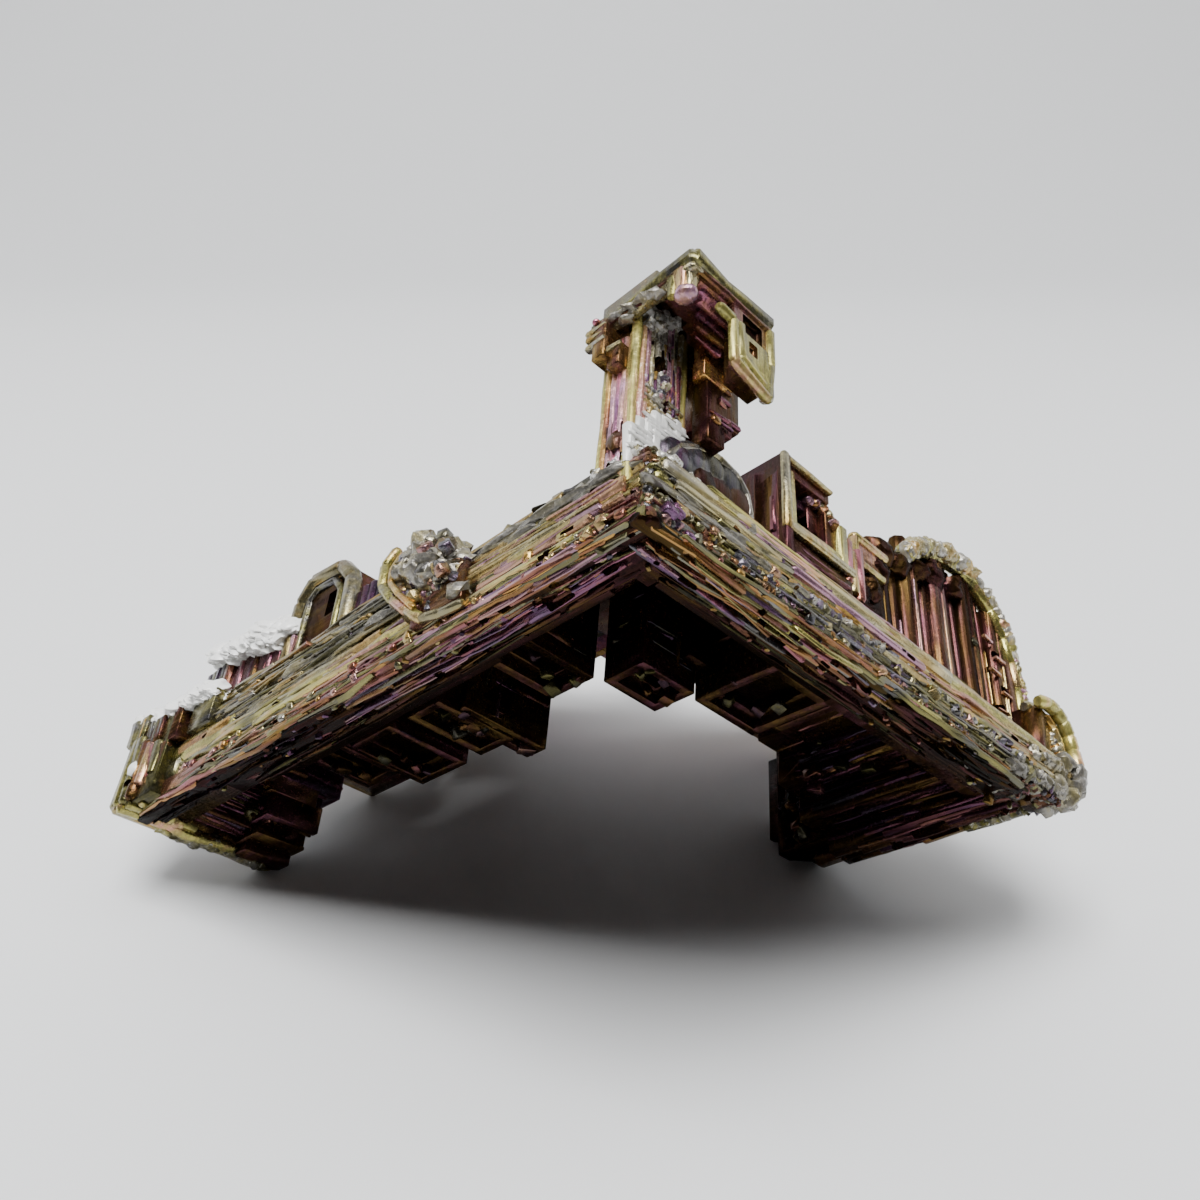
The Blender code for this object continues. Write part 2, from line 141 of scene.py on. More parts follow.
class Region:
    """The growths of one region of the crystal. Its film is drawn out along its grain."""

    def __init__(self, name, seed, grain):
        self.name = name
        self.grain = grain
        self.random = random.Random(seed)
        self.places, self.faces, self.looks, self.removed, self.rounds = [], [], [], [], []
        self.count = 0

    def add(self, places, faces, look, is_pit=False, is_round=False):
        self.places.append(places)
        self.faces.extend([self.count + corner for corner in face] for face in faces)
        self.count += len(places)
        self.looks.extend([look] * len(faces))
        self.removed.extend([is_pit] * len(faces))
        self.rounds.extend(is_round and len(face) < SIDES for face in faces)

    def varied(self, film, shade, bare):
        """A look close to the given one."""
        return film + self.random.gauss(0, 0.02), shade * self.random.uniform(0.85, 1.1), bare

    def block(self, right, left, post, shade, film=COPPER, bare=0.0, is_pit=False, lean=LEAN):
        """One square growth, given by its span along each axis."""
        low, high = np.array(list(zip(right, left, post)))
        half = (high - low) / 2
        cut = min(CHAMFER, 0.45 * half.min())
        lean = lean / (1.0 + half.max())
        turn = Euler([self.random.gauss(0, lean) for _ in range(3)]).to_matrix()
        places = CUBE_SIGNS * (half - CUBE_CUTS * cut) @ np.array(turn).T + (high + low) / 2
        self.add(places, CUBE_FACES, self.varied(film, shade, bare), is_pit)

    def pit(self, right, left, post, shade, film=COPPER, lean=LEAN):
        """A square hole, given like a block."""
        self.block(right, left, post, shade, film, is_pit=True, lean=lean)

    def blocks(self, rows):
        """One block for each row: its ends along right, left and post, then its look."""
        for row in rows:
            self.block(row[0:2], row[2:4], row[4:6], *row[6:])

    def pits(self, rows):
        """One pit for each row: its ends along right, left and post, then its look."""
        for row in rows:
            self.pit(row[0:2], row[2:4], row[4:6], *row[6:])

    def rods(self, long, rows, **more):
        """One rod for each row: its ends, its middle, its half widths, then its look."""
        for row in rows:
            self.rod(long, row[0:2], row[2:4], row[4:6], *row[6:], **more)

    def ridge_bands(self, long, face, rows, **more):
        """Ridges on one face, by band: each row has the values that ridges() takes after the face."""
        for row in rows:
            self.ridges(long, face, *row, **more)

    def lump(self, place, radii, film, shade=1.0, bare=1.0, ruggedness=0.25, grain=1.6, turn=None):
        """One rounded lump with a rugged skin."""
        offset = Vector(self.random.uniform(-50, 50) for _ in range(3))
        points, faces = LARGE_LUMP if max(radii) > LARGE else SMALL_LUMP
        swell = [
            1 + ruggedness * noise.fractal(Vector(point) * grain + offset, 1.0, 2.0, 3)
            for point in points
        ]
        places = points * np.array(swell)[:, None] * np.array(radii)
        if turn is not None:
            places = places @ turn.T
        self.add(places + np.array(place), faces, (film, shade, bare), is_round=True)

    def painted_highlight_crust(self, start, end, count, size):
        """Flat rugged lumps of bare metal, painted white as a highlight, that lie between two places, level
        with the table.
        """
        draw = self.random.uniform
        level = np.array(TILT.to_matrix().inverted())
        for _ in range(count):
            way = draw(0, 1)
            middle = [a + (b - a) * way + draw(-0.4, 0.4) * size for a, b in zip(start, end)]
            spread = size * draw(0.5, 1.1)
            radii = (spread, spread, spread * draw(0.3, 0.5))
            self.lump(middle, radii, STRAW, 1.0, PAINTED_HIGHLIGHT, 0.5, 1.3, level)

    def trail(self, corners, size, count, films, shades=(0.7, 1.1), bare=0.0, ruggedness=0.35):
        """Small lumps set along a bent line."""
        draw = self.random.uniform
        corners = [Vector(corner) for corner in corners]
        for _ in range(count):
            way = draw(0, len(corners) - 1.001)
            place = corners[int(way)].lerp(corners[int(way) + 1], way % 1.0)
            radii = [size * draw(0.6, 1.1) for _ in range(3)]
            self.lump(place, radii, self.random.choice(films), draw(*shades), bare, ruggedness)

    def bar(self, long, face, along, across, level, rise, film, depth=0.3, **look):
        """A block on the face whose outward side is -face, which rises over the face's level."""
        spans = [None, None, None]
        spans[long] = along
        spans[face] = (level - rise, level + depth)
        spans[3 - long - face] = across
        self.block(*spans, film=film, **look)

    def rod(self, long, along, middle, half, film, shade=1.0, bare=0.0, wander=0.035, step=0.9):
        """A ridge along one axis: cut corners, wavering sides, and broken, tapered ends."""
        draw = self.random
        length = along[1] - along[0]
        rings = max(3, int(length / step) + 2)
        spots = np.linspace(along[0], along[1], rings)
        spots[1:-1] += [draw.uniform(-0.3, 0.3) * step for _ in range(rings - 2)]
        spots[1] = along[0] + min(TAPER, length / 4)
        spots[-2] = along[1] - min(TAPER, length / 4)
        across = [axis for axis in range(3) if axis != long]
        cut = draw.uniform(0.35, 0.6)
        outline = np.array([
            (1, cut), (cut, 1), (-cut, 1), (-1, cut), (-1, -cut), (-cut, -1), (cut, -1), (1, -cut),
        ])
        if long == LEFT:
            outline = outline[::-1]
        places = np.zeros((rings, SIDES, 3))
        drift = np.zeros(2)
        for ring, spot in enumerate(spots):
            swell = draw.uniform(0.85, 1.1)
            if ring in (0, rings - 1):
                swell *= draw.uniform(0.3, 0.9)
            else:
                drift = drift * 0.7 + [draw.gauss(0, wander) for _ in range(2)]
            places[ring, :, across] = (outline * half * swell + middle + drift).T
            places[ring, :, long] = spot
        look = (film + draw.gauss(0, 0.02), shade, bare)
        self.add(places.reshape(-1, 3), tube_faces(rings), look, is_round=True)

    def beam(self, start, end, half, film, shade=1.0, bare=0.0):
        """A straight ridge with cut corners, between any two places."""
        start, end = Vector(start), Vector(end)
        way = (end - start).normalized()
        side = way.orthogonal().normalized()
        up = way.cross(side)
        turns = [math.radians(45 * corner + 22.5) for corner in range(SIDES)]
        rings = [(start - way * half * 0.3, 0.7), (start + way * half * 0.3, 1.0),
                 (end - way * half * 0.3, 1.0), (end + way * half * 0.3, 0.7)]
        places = np.array([
            middle + (side * math.cos(turn) + up * math.sin(turn)) * half * swell
            for middle, swell in rings
            for turn in turns
        ])
        look = self.varied(film, shade, bare)
        self.add(places, tube_faces(len(rings)), look, is_round=True)

    def bent_beam(self, corners, half, film, shade=1.0, bare=0.0):
        for start, end in zip(corners, corners[1:]):
            self.beam(start, end, half, film, shade, bare)

    def ridges(self, long, face, along, across, level, count, lengths, widths, rises, films,
               shades=(0.3, 1.0), **look):
        """Broken ridges side by side on a face; its level may vary across it."""
        draw = self.random.uniform
        other = 3 - long - face
        for _ in range(count):
            length = min(draw(*lengths), along[1] - along[0])
            start = draw(along[0], along[1] - length)
            width = draw(*widths)
            side = draw(across[0] + width / 2, across[1] - width / 2)
            surface = level(side) if callable(level) else level
            rise = draw(*rises)
            depth = width * draw(0.8, 1.4) + rise
            spans = sorted([(face, surface - rise + depth / 2, depth / 2), (other, side, width / 2)])
            _, middle, half = zip(*spans)
            self.rod(long, (start, start + length), middle, half, self.random.choice(films),
                     shade=draw(*shades), **look)

    def spots(self, along, across, count, sizes):
        """Random small squares on a face: each one's size, and where it starts along and across."""
        draw = self.random.uniform
        for _ in range(count):
            size = draw(*sizes)
            yield size, draw(along[0], along[1] - size), draw(across[0], across[1] - size)

    def crumbs(self, long, face, along, across, level, count, sizes, films, shades=(0.5, 1.2),
               lean=0.12):
        """Small cubes scattered over a face."""
        draw = self.random.uniform
        for size, start, side in self.spots(along, across, count, sizes):
            self.bar(long, face, (start, start + size * draw(0.8, 1.5)), (side, side + size), level,
                     size * draw(0.2, 0.6), self.random.choice(films), shade=draw(*shades), lean=lean)

    def holes(self, long, face, along, across, level, count, sizes, depth):
        """Small square pits scattered over a face."""
        draw = self.random.uniform
        for size, start, side in self.spots(along, across, count, sizes):
            self.bar(long, face, (start, start + size * draw(1.0, 5.0)), (side, side + size), level,
                     0.5, COPPER, depth=draw(*depth), shade=0.3, is_pit=True, lean=0.1)

    def hopper(self, right, left, post, face, outward, ledge, step, films, shades):
        """A box with a stepped square pit in one face: rings that narrow, step by step."""
        def sunk(ring):
            box = [list(right), list(left), list(post)]
            box[face][max(outward, 0)] -= outward * step * ring
            return box

        across = [axis for axis in range(3) if axis != face]
        rings = len(films) - 1
        # Each call gives the rings darker shades inwards: painted shade that deepens into the pit.
        for ring in range(rings):
            wall = ledge * (ring + 1) + 0.02
            for side in across:
                for end in (0, 1):
                    box = sunk(ring)
                    box[side][1 - end] = box[side][end] + (wall, -wall)[end]
                    self.block(*box, shades[ring], films[ring])
        self.block(*sunk(rings), shades[-1], films[-1])

    def cut_at_table(self):
        """Cut off what would reach below the table, with one large pit."""
        place = Matrix.Translation((0, 0, -TABLE_CUT * MM)) @ Matrix.Scale(TABLE_CUT * MM, 4)
        to_crystal = np.array(CRYSTAL_TO_PART.inverted() @ place)
        places = (CUBE_SIGNS * (1 - 0.01 * CUBE_CUTS)) @ to_crystal[:3, :3].T + to_crystal[:3, 3]
        self.add(places, CUBE_FACES, (COPPER, 0.5, 0.0), is_pit=True)

    def fused(self):
        """All the growths of the region as one mesh in the part's frame."""
        self.cut_at_table()
        mesh = bpy.data.meshes.new(self.name)
        mesh.from_pydata(np.concatenate(self.places).tolist(), [], self.faces)
        look = mesh.attributes.new("look", "FLOAT_VECTOR", "FACE")
        look.data.foreach_set("vector", np.array(self.looks, dtype=np.float32).ravel())
        pit = mesh.attributes.new("is_pit", "BOOLEAN", "FACE")
        pit.data.foreach_set("value", self.removed)
        mesh.polygons.foreach_set("use_smooth", self.rounds)
        piece = bpy.data.objects.new(self.name, mesh)
        bpy.context.scene.collection.objects.link(piece)
        fuse = piece.modifiers.new("fuse", "NODES")
        fuse.node_group = FUSE
        depsgraph = bpy.context.evaluated_depsgraph_get()
        skin = bpy.data.meshes.new_from_object(piece.evaluated_get(depsgraph))
        piece.modifiers.remove(fuse)
        piece.data = skin
        bpy.data.meshes.remove(mesh)
        skin.name = self.name
        skin.set_sharp_from_angle(angle=CREASE)
        skin.transform(CRYSTAL_TO_PART)
        return piece


def make_fuse_group():
    """Nodes that join all loose growths into one skin, and then cut the pits from it."""
    group = bpy.data.node_groups.new("fuse_growths", "GeometryNodeTree")
    group.interface.new_socket("Geometry", in_out="INPUT", socket_type="NodeSocketGeometry")
    group.interface.new_socket("Geometry", in_out="OUTPUT", socket_type="NodeSocketGeometry")
    nodes, link = group.nodes, group.links.new
    start = nodes.new("NodeGroupInput")
    end = nodes.new("NodeGroupOutput")
    is_pit = nodes.new("GeometryNodeInputNamedAttribute")
    is_pit.data_type = "BOOLEAN"
    is_pit.inputs["Name"].default_value = "is_pit"
    parted = nodes.new("GeometryNodeSeparateGeometry")
    parted.domain = "FACE"
    link(start.outputs[0], parted.inputs[0])
    link(is_pit.outputs["Attribute"], parted.inputs["Selection"])
    skins = []
    for output in (parted.outputs["Inverted"], parted.outputs["Selection"]):
        island = nodes.new("GeometryNodeInputMeshIsland")
        split = nodes.new("GeometryNodeSplitToInstances")
        split.domain = "FACE"
        union = nodes.new("GeometryNodeMeshBoolean")
        union.operation = "UNION"
        union.solver = "MANIFOLD"
        link(output, split.inputs[0])
        link(island.outputs["Island Index"], split.inputs["Group ID"])
        link(split.outputs[0], union.inputs[1])
        skins.append(union.outputs[0])
    cut = nodes.new("GeometryNodeMeshBoolean")
    cut.operation = "DIFFERENCE"
    cut.solver = "MANIFOLD"
    link(skins[0], cut.inputs[0])
    link(skins[1], cut.inputs[1])
    link(cut.outputs[0], end.inputs[0])
    return group


FUSE = make_fuse_group()


METALLIC = 0.82
BARE_METAL = (0.62, 0.61, 0.58, 1.0)
PAINTED_HIGHLIGHT_WHITE = (0.93, 0.93, 0.91, 1.0)
EVEN = (1.0, 1.0, 1.0)


def make_film_material(name, grain):
    """Oxide film on bare metal. The grain is how far the pattern is squeezed along each axis."""
    material = bpy.data.materials.new(name)
    material.use_nodes = True
    nodes, link = material.node_tree.nodes, material.node_tree.links.new
    shader = nodes["Principled BSDF"]

    def fill(node, values):
        """Set or link the inputs of a node."""
        for key, value in values.items():
            if isinstance(value, bpy.types.NodeSocket):
                link(value, node.inputs[key])
            else:
                node.inputs[key].default_value = value

    def add_node(kind, values, output=0, **settings):
        """Add a node with its settings and its inputs, and give back one of its outputs."""
        node = nodes.new("ShaderNode" + kind)
        for key, value in settings.items():
            setattr(node, key, value)
        fill(node, values)
        return node.outputs[output]

    def combined(operation, first, second, clamp=False):
        return add_node("Math", {0: first, 1: second}, operation=operation, use_clamp=clamp)

    def swayed(value, pattern, amount):
        """The value, moved up and down by a pattern."""
        sway = combined("MULTIPLY", combined("SUBTRACT", pattern, 0.5), amount)
        return combined("ADD", value, sway)

    def mapped(value, start, end, low=0.0, high=1.0):
        inputs = {"Value": value, "From Min": start, "From Max": end, "To Min": low, "To Max": high}
        return add_node("MapRange", inputs)

    def mixed(factor, first, second):
        inputs = {"Factor": factor, "A": first, "B": second}
        return add_node("Mix", inputs, "Result", data_type="RGBA")

    def noise_pattern(scale, stretch, detail=2.0, roughness=0.5):
        inputs = {"Vector": crystal_axes, "Scale": [scale * factor for factor in stretch]}
        place = add_node("Mapping", inputs)
        inputs = {"Vector": place, "Scale": 1.0, "Detail": detail, "Roughness": roughness}
        return add_node("TexNoise", inputs, "Fac")

    part_axes = add_node("TexCoord", {}, "Object")
    turned = add_node("VectorRotate", {"Vector": part_axes, "Rotation": TILT},
                      rotation_type="EULER_XYZ", invert=True)
    crystal_axes = add_node("VectorMath", {0: turned, "Scale": 1 / MM}, operation="SCALE")
    look = add_node("Attribute", {}, "Vector", attribute_name="look")
    film, shade, bare = add_node("SeparateXYZ", {0: look}).node.outputs

    drift = noise_pattern(0.45, EVEN)
    streaks = noise_pattern(3.2, grain, detail=3.0)
    fine = noise_pattern(11.0, grain, detail=4.0, roughness=0.65)
    speckle = noise_pattern(5.0, EVEN, detail=4.0, roughness=0.7)
    lines = noise_pattern(5.5, grain)
    wear = mapped(noise_pattern(0.9, grain, detail=1.0), 0.44, 0.58)

    # The film's colour, by its thickness.
    thickness = combined("PINGPONG", swayed(swayed(film, drift, 0.3), streaks, 0.26), 1.0)
    film_colour = add_node("ValToRGB", {0: thickness})
    stops = film_colour.node.color_ramp.elements
    while len(stops) < len(FILM_COLOURS):
        stops.new(1.0)
    for stop, (place, colour) in zip(stops, FILM_COLOURS):
        stop.position = place
        stop.color = (*colour, 1.0)

    # Dirt where it is worn, and painted shade in the grooves along the grain.
    dirt = combined("MULTIPLY", mapped(speckle, 0.38, 0.62, -0.45, 0.1), wear)
    painted_groove_shade = mapped(lines, 0.4, 0.5, 0.75)
    # The look's shade scales the film colour growth by growth: partly the growth's own tone, partly painted
    # shade on faces that lie in shade and painted light on faces the lamps leave dark.
    dimming = combined("MULTIPLY", shade, combined("MULTIPLY", painted_groove_shade, combined("ADD", dirt, 1.0)))
    dimmed = add_node("VectorMath", {0: film_colour, "Scale": dimming}, operation="SCALE")

    # Bare metal where the film is lost, and over it a white crust, whose white is a painted highlight.
    bareness = mapped(swayed(bare, speckle, 0.9), 0.46, 0.54)
    painted_highlight_crust = combined("MULTIPLY", combined("SUBTRACT", bare, 1.3), 5.0, clamp=True)
    colour = mixed(painted_highlight_crust, mixed(bareness, dimmed, BARE_METAL), PAINTED_HIGHLIGHT_WHITE)
    dulling = combined("ADD", combined("MULTIPLY", combined("MINIMUM", bare, 0.5), 0.9),
                       combined("MULTIPLY", painted_highlight_crust, 0.3))
    roughness = combined("ADD", mapped(speckle, 0.3, 0.7, 0.12, 0.32), combined("MULTIPLY", bareness, 0.12))

    relief = combined("ADD", fine, combined("MULTIPLY", speckle, 0.5))
    relief = combined("MULTIPLY", relief, combined("ADD", 0.3, wear))
    relief = combined("ADD", relief, combined("MULTIPLY", lines, 0.5))
    bump = add_node("Bump", {"Strength": 0.35, "Distance": 0.06 * MM, "Height": relief})
    # Growths with a low shade get a darker specular tint: painted shade on their reflections too.
    fill(shader, {
        "Base Color": colour,
        "Metallic": combined("SUBTRACT", METALLIC, dulling),
        "Specular Tint": mapped(shade, 0.0, 0.5, 0.05),
        "Roughness": roughness,
        "Normal": bump,
    })
    return material


GRAINS = {
    "left": (1.0, 0.07, 1.0),
    "right": (0.07, 1.0, 1.0),
    "post": (1.0, 1.0, 0.07),
    "none": (0.6, 0.6, 0.6),
}
MATERIALS = {name: make_film_material(f"{SLOT}_{name}", grain) for name, grain in GRAINS.items()}


def side(post):
    """How far the left arm's side stands back, by height: rounded over its top."""
    return 0.05 + 0.099 * max(0.0, post - ARM_SHOULDER) ** 2


def grow_left_arm():
    arm = Region("left_arm", 11, "left")
    arm.blocks([
        (0.35, 2.3, 0.2, LEFT_ARM - 0.8, 0.35, ARM_DEPTH, 0.15), (0.45, 1.7, 13, 29, 2.8, 4.4, 0.15),
        (0.9, 2.15, 0.6, 27, 0.2, 1.2, 0.08), (1.8, 2.7, 4, 25.6, 0.5, 2, 0.08),
        (2.4, 3.25, 10.5, 24.4, 0.85, 2.6, 0.08),
    ])
    end = LEFT_ARM - 0.7
    # The long ridges that set the arm's shape, outermost first.
    arm.rods(LEFT, [
        (0, end, 0.5, 0.24, 0.34, 0.22, COPPER, 0.08), (0, 19, 0.26, 0.36, 0.22, 0.18, COPPER, 0.4),
        (18, end, 0.2, 0.36, 0.22, 0.22, OLIVE, 0.8),
    ])
    arm.ridges(LEFT, POST, (0, 17), (0.1, 0.8), 0.1, 40, (1, 5), (0.08, 0.2), (0, 0.12),
               (COPPER, OLIVE, COPPER, MAUVE), (0.4, 1), wander=0.06)
    arm.rods(LEFT, [
        (0.3, end, 0.35, 0.68, 0.3, 0.18, OLIVE, 0.6), (1, end, 0.42, 1, 0.3, 0.22, COPPER, 0.6),
        (0.5, 24, 0.4, 1.45, 0.32, 0.28, PEACH, 0.6), (20, end, 0.38, 1.5, 0.3, 0.3, OLIVE, 0.7),
        (0.4, 22, 0.42, 1.95, 0.34, 0.26, LIME, 0.7), (0.4, 14, 0.5, 2.5, 0.4, 0.35, STRAW, 0.6),
    ])
    arm.rod(LEFT, (1, 10), (0.02, 2), (0.2, 0.3), PEACH, 0.9, 0.2, wander=0.02)
    arm.rod(LEFT, (14, 26), (0.06, 2), (0.2, 0.26), STRAW, 0.8, 0.1, wander=0.02)
    arm.ridges(LEFT, RIGHT, (1, 13), (1.65, 2.35), -0.16, 22, (2, 6), (0.06, 0.16), (0, 0.05),
               (LIME, STRAW, PEACH, MAUVE), (0.6, 1), wander=0.02)
    arm.rods(LEFT, [
        (13, 28.5, 0.5, 2.55, 0.4, 0.35, OLIVE, 0.7), (13, 27, 0.75, 3.3, 0.4, 0.35, STRAW, 0.6),
        (15, 27.5, 0.95, 4, 0.4, 0.35, OLIVE, 0.6), (17, 25.5, 1.15, 4.55, 0.4, 0.25, STRAW, 0.6),
    ])
    # Fine ridges on the side face, by band of height.
    bands = [
        ((0, 0.6), 60, (COPPER, OLIVE, COPPER), (0.35, 0.9), (0.07, 0.2)),
        ((0.5, 1.3), 90, (OLIVE, COPPER, PEACH, OLIVE), (0.35, 0.9), (0.07, 0.2)),
        ((1.2, 2.2), 80, (LIME, STRAW, OLIVE, PEACH), (0.25, 0.85), (0.08, 0.26)),
        ((2.1, 3), 80, (STRAW, OLIVE, SILVER, STRAW), (0.2, 0.75), (0.08, 0.26)),
    ]
    for across, count, films, shades, widths in bands:
        arm.ridges(LEFT, RIGHT, (0.3, end), across, side, count, (1.5, 8), widths, (0, 0.12), films,
                   shades, wander=0.05)
    arm.ridges(LEFT, RIGHT, (12.5, 29), (2.9, 4.8), side, 140, (1.2, 6), (0.07, 0.26), (0, 0.2),
               (STRAW, SILVER, OLIVE, STRAW, GOLD), (0.2, 0.8), wander=0.06)
    # Wider bars that stand out: lime above, pink and peach beside the corner.
    arm.ridge_bands(LEFT, RIGHT, [
        ((6, end), (1.1, 2), side, 9, (4, 9), (0.2, 0.4), (0.1, 0.2), (LIME, LIME, OLIVE), (0.7, 1)),
        ((1, 9), (1, 2.4), side, 7, (3, 6), (0.3, 0.5), (0.1, 0.2), (PEACH, STRAW, MAUVE),
         (0.6, 0.85)),
    ], wander=0.03)
    arm.ridges(LEFT, RIGHT, (2, 14), (0.7, 1.1), side, 4, (4, 7), (0.16, 0.26), (0.1, 0.2),
               (LIME, STRAW), (0.8, 1), wander=0.02)
    arm.rods(LEFT, [
        (3, 11.5, 0.1, 0.36, 0.2, 0.14, MAUVE, 0.85), (4.5, 14, 0.12, 0.62, 0.16, 0.1, VIOLET, 0.8),
        (14, 20, 0.14, 0.5, 0.16, 0.12, MAUVE, 0.6),
    ], wander=0.02)
    arm.rod(LEFT, (25, 30.6), (0.12, 2.3), (0.26, 0.62), LIME, wander=0.01)
    arm.rod(LEFT, (25.4, 30), (0.02, 2.4), (0.22, 0.3), GOLD, 1.1, wander=0.01)
    arm.rod(LEFT, (29.6, 32.6), (0.1, 1.5), (0.3, 0.5), OLIVE, 0.8, wander=0.02)
    arm.rod(LEFT, (26.8, 31.2), (0.1, 0.75), (0.25, 0.45), COPPER, 0.9, wander=0.02)
    arm.trail([(0.1, 1, 0.6), (0.1, 12, 0.8), (0.1, 24, 0.8), (0.1, 31, 0.7)], 0.15, 80,
              (COPPER, PEACH, OLIVE, STEEL), (0.2, 0.8), 0, 0.5)
    # Grey smears of metal beside the corner and along the thick of the arm.
    for left, height in (
        (1.9, 2.8), (2.6, 2.4), (3.3, 2.7), (4.2, 2.3), (5.1, 2.8), (6, 2.6), (7, 2.9), (8, 2.7),
        (14.4, 2.9), (17, 3.4), (20.5, 3.2),
    ):
        arm.lump((0.32, left, height), (0.5, 1.5, 0.3), SILVER, 0.55, 0.3, 0.4, 1.4)
    arm.trail([(0.2, 10, 2.6), (0.3, 18, 3.2), (0.4, 24, 3.6), (0.3, 28, 2.8)], 0.24, 46,
              (SILVER, STEEL, OLIVE), (0.3, 0.9), 0.2, 0.5)
    # The low face, rough, and dark with painted shade: nearly black beyond the middle of the arm.
    arm.ridge_bands(LEFT, POST, [
        ((0.6, 17), (0.3, 1.2), 0.12, 60, (0.6, 4), (0.06, 0.22), (0, 0.16), (COPPER, VIOLET, ROSE, OLIVE),
         (0.3, 0.8)),
        ((16, end), (0.1, 1.2), 0.1, 90, (0.6, 4), (0.06, 0.22), (0, 0.16), (COPPER, VIOLET, COPPER),
         (0.03, 0.12)),
    ], wander=0.06)
    arm.ridge_bands(LEFT, POST, [
        ((2, 18), (1.15, 1.5), 0.06, 24, (1.5, 6), (0.08, 0.2), (0.02, 0.12), (VIOLET, MAUVE, ROSE),
         (0.25, 0.6)),
        ((2, 26), (1.5, 2.15), 0.18, 80, (0.6, 4), (0.06, 0.22), (0, 0.14), (COPPER, OLIVE, COPPER),
         (0.06, 0.2)),
    ])
    arm.crumbs(LEFT, RIGHT, (0.5, end - 1), (0.2, 1.5), 0, 70, (0.14, 0.4),
               (GOLD, PEACH, PEACH, STRAW, COPPER), (0.6, 1.3), 0.3)
    arm.crumbs(LEFT, POST, (0.5, 28), (0.1, 1.5), 0.1, 70, (0.08, 0.3), (GOLD, COPPER, OLIVE, VIOLET),
               (0.15, 0.6), 0.3)
    arm.holes(LEFT, RIGHT, (0.5, 31), (0.3, 3.4), 0.1, 34, (0.06, 0.16), (0.1, 0.35))
    arm.holes(LEFT, POST, (0.5, 28), (0.2, 1.9), 0.1, 34, (0.08, 0.3), (0.1, 0.35))
    return arm


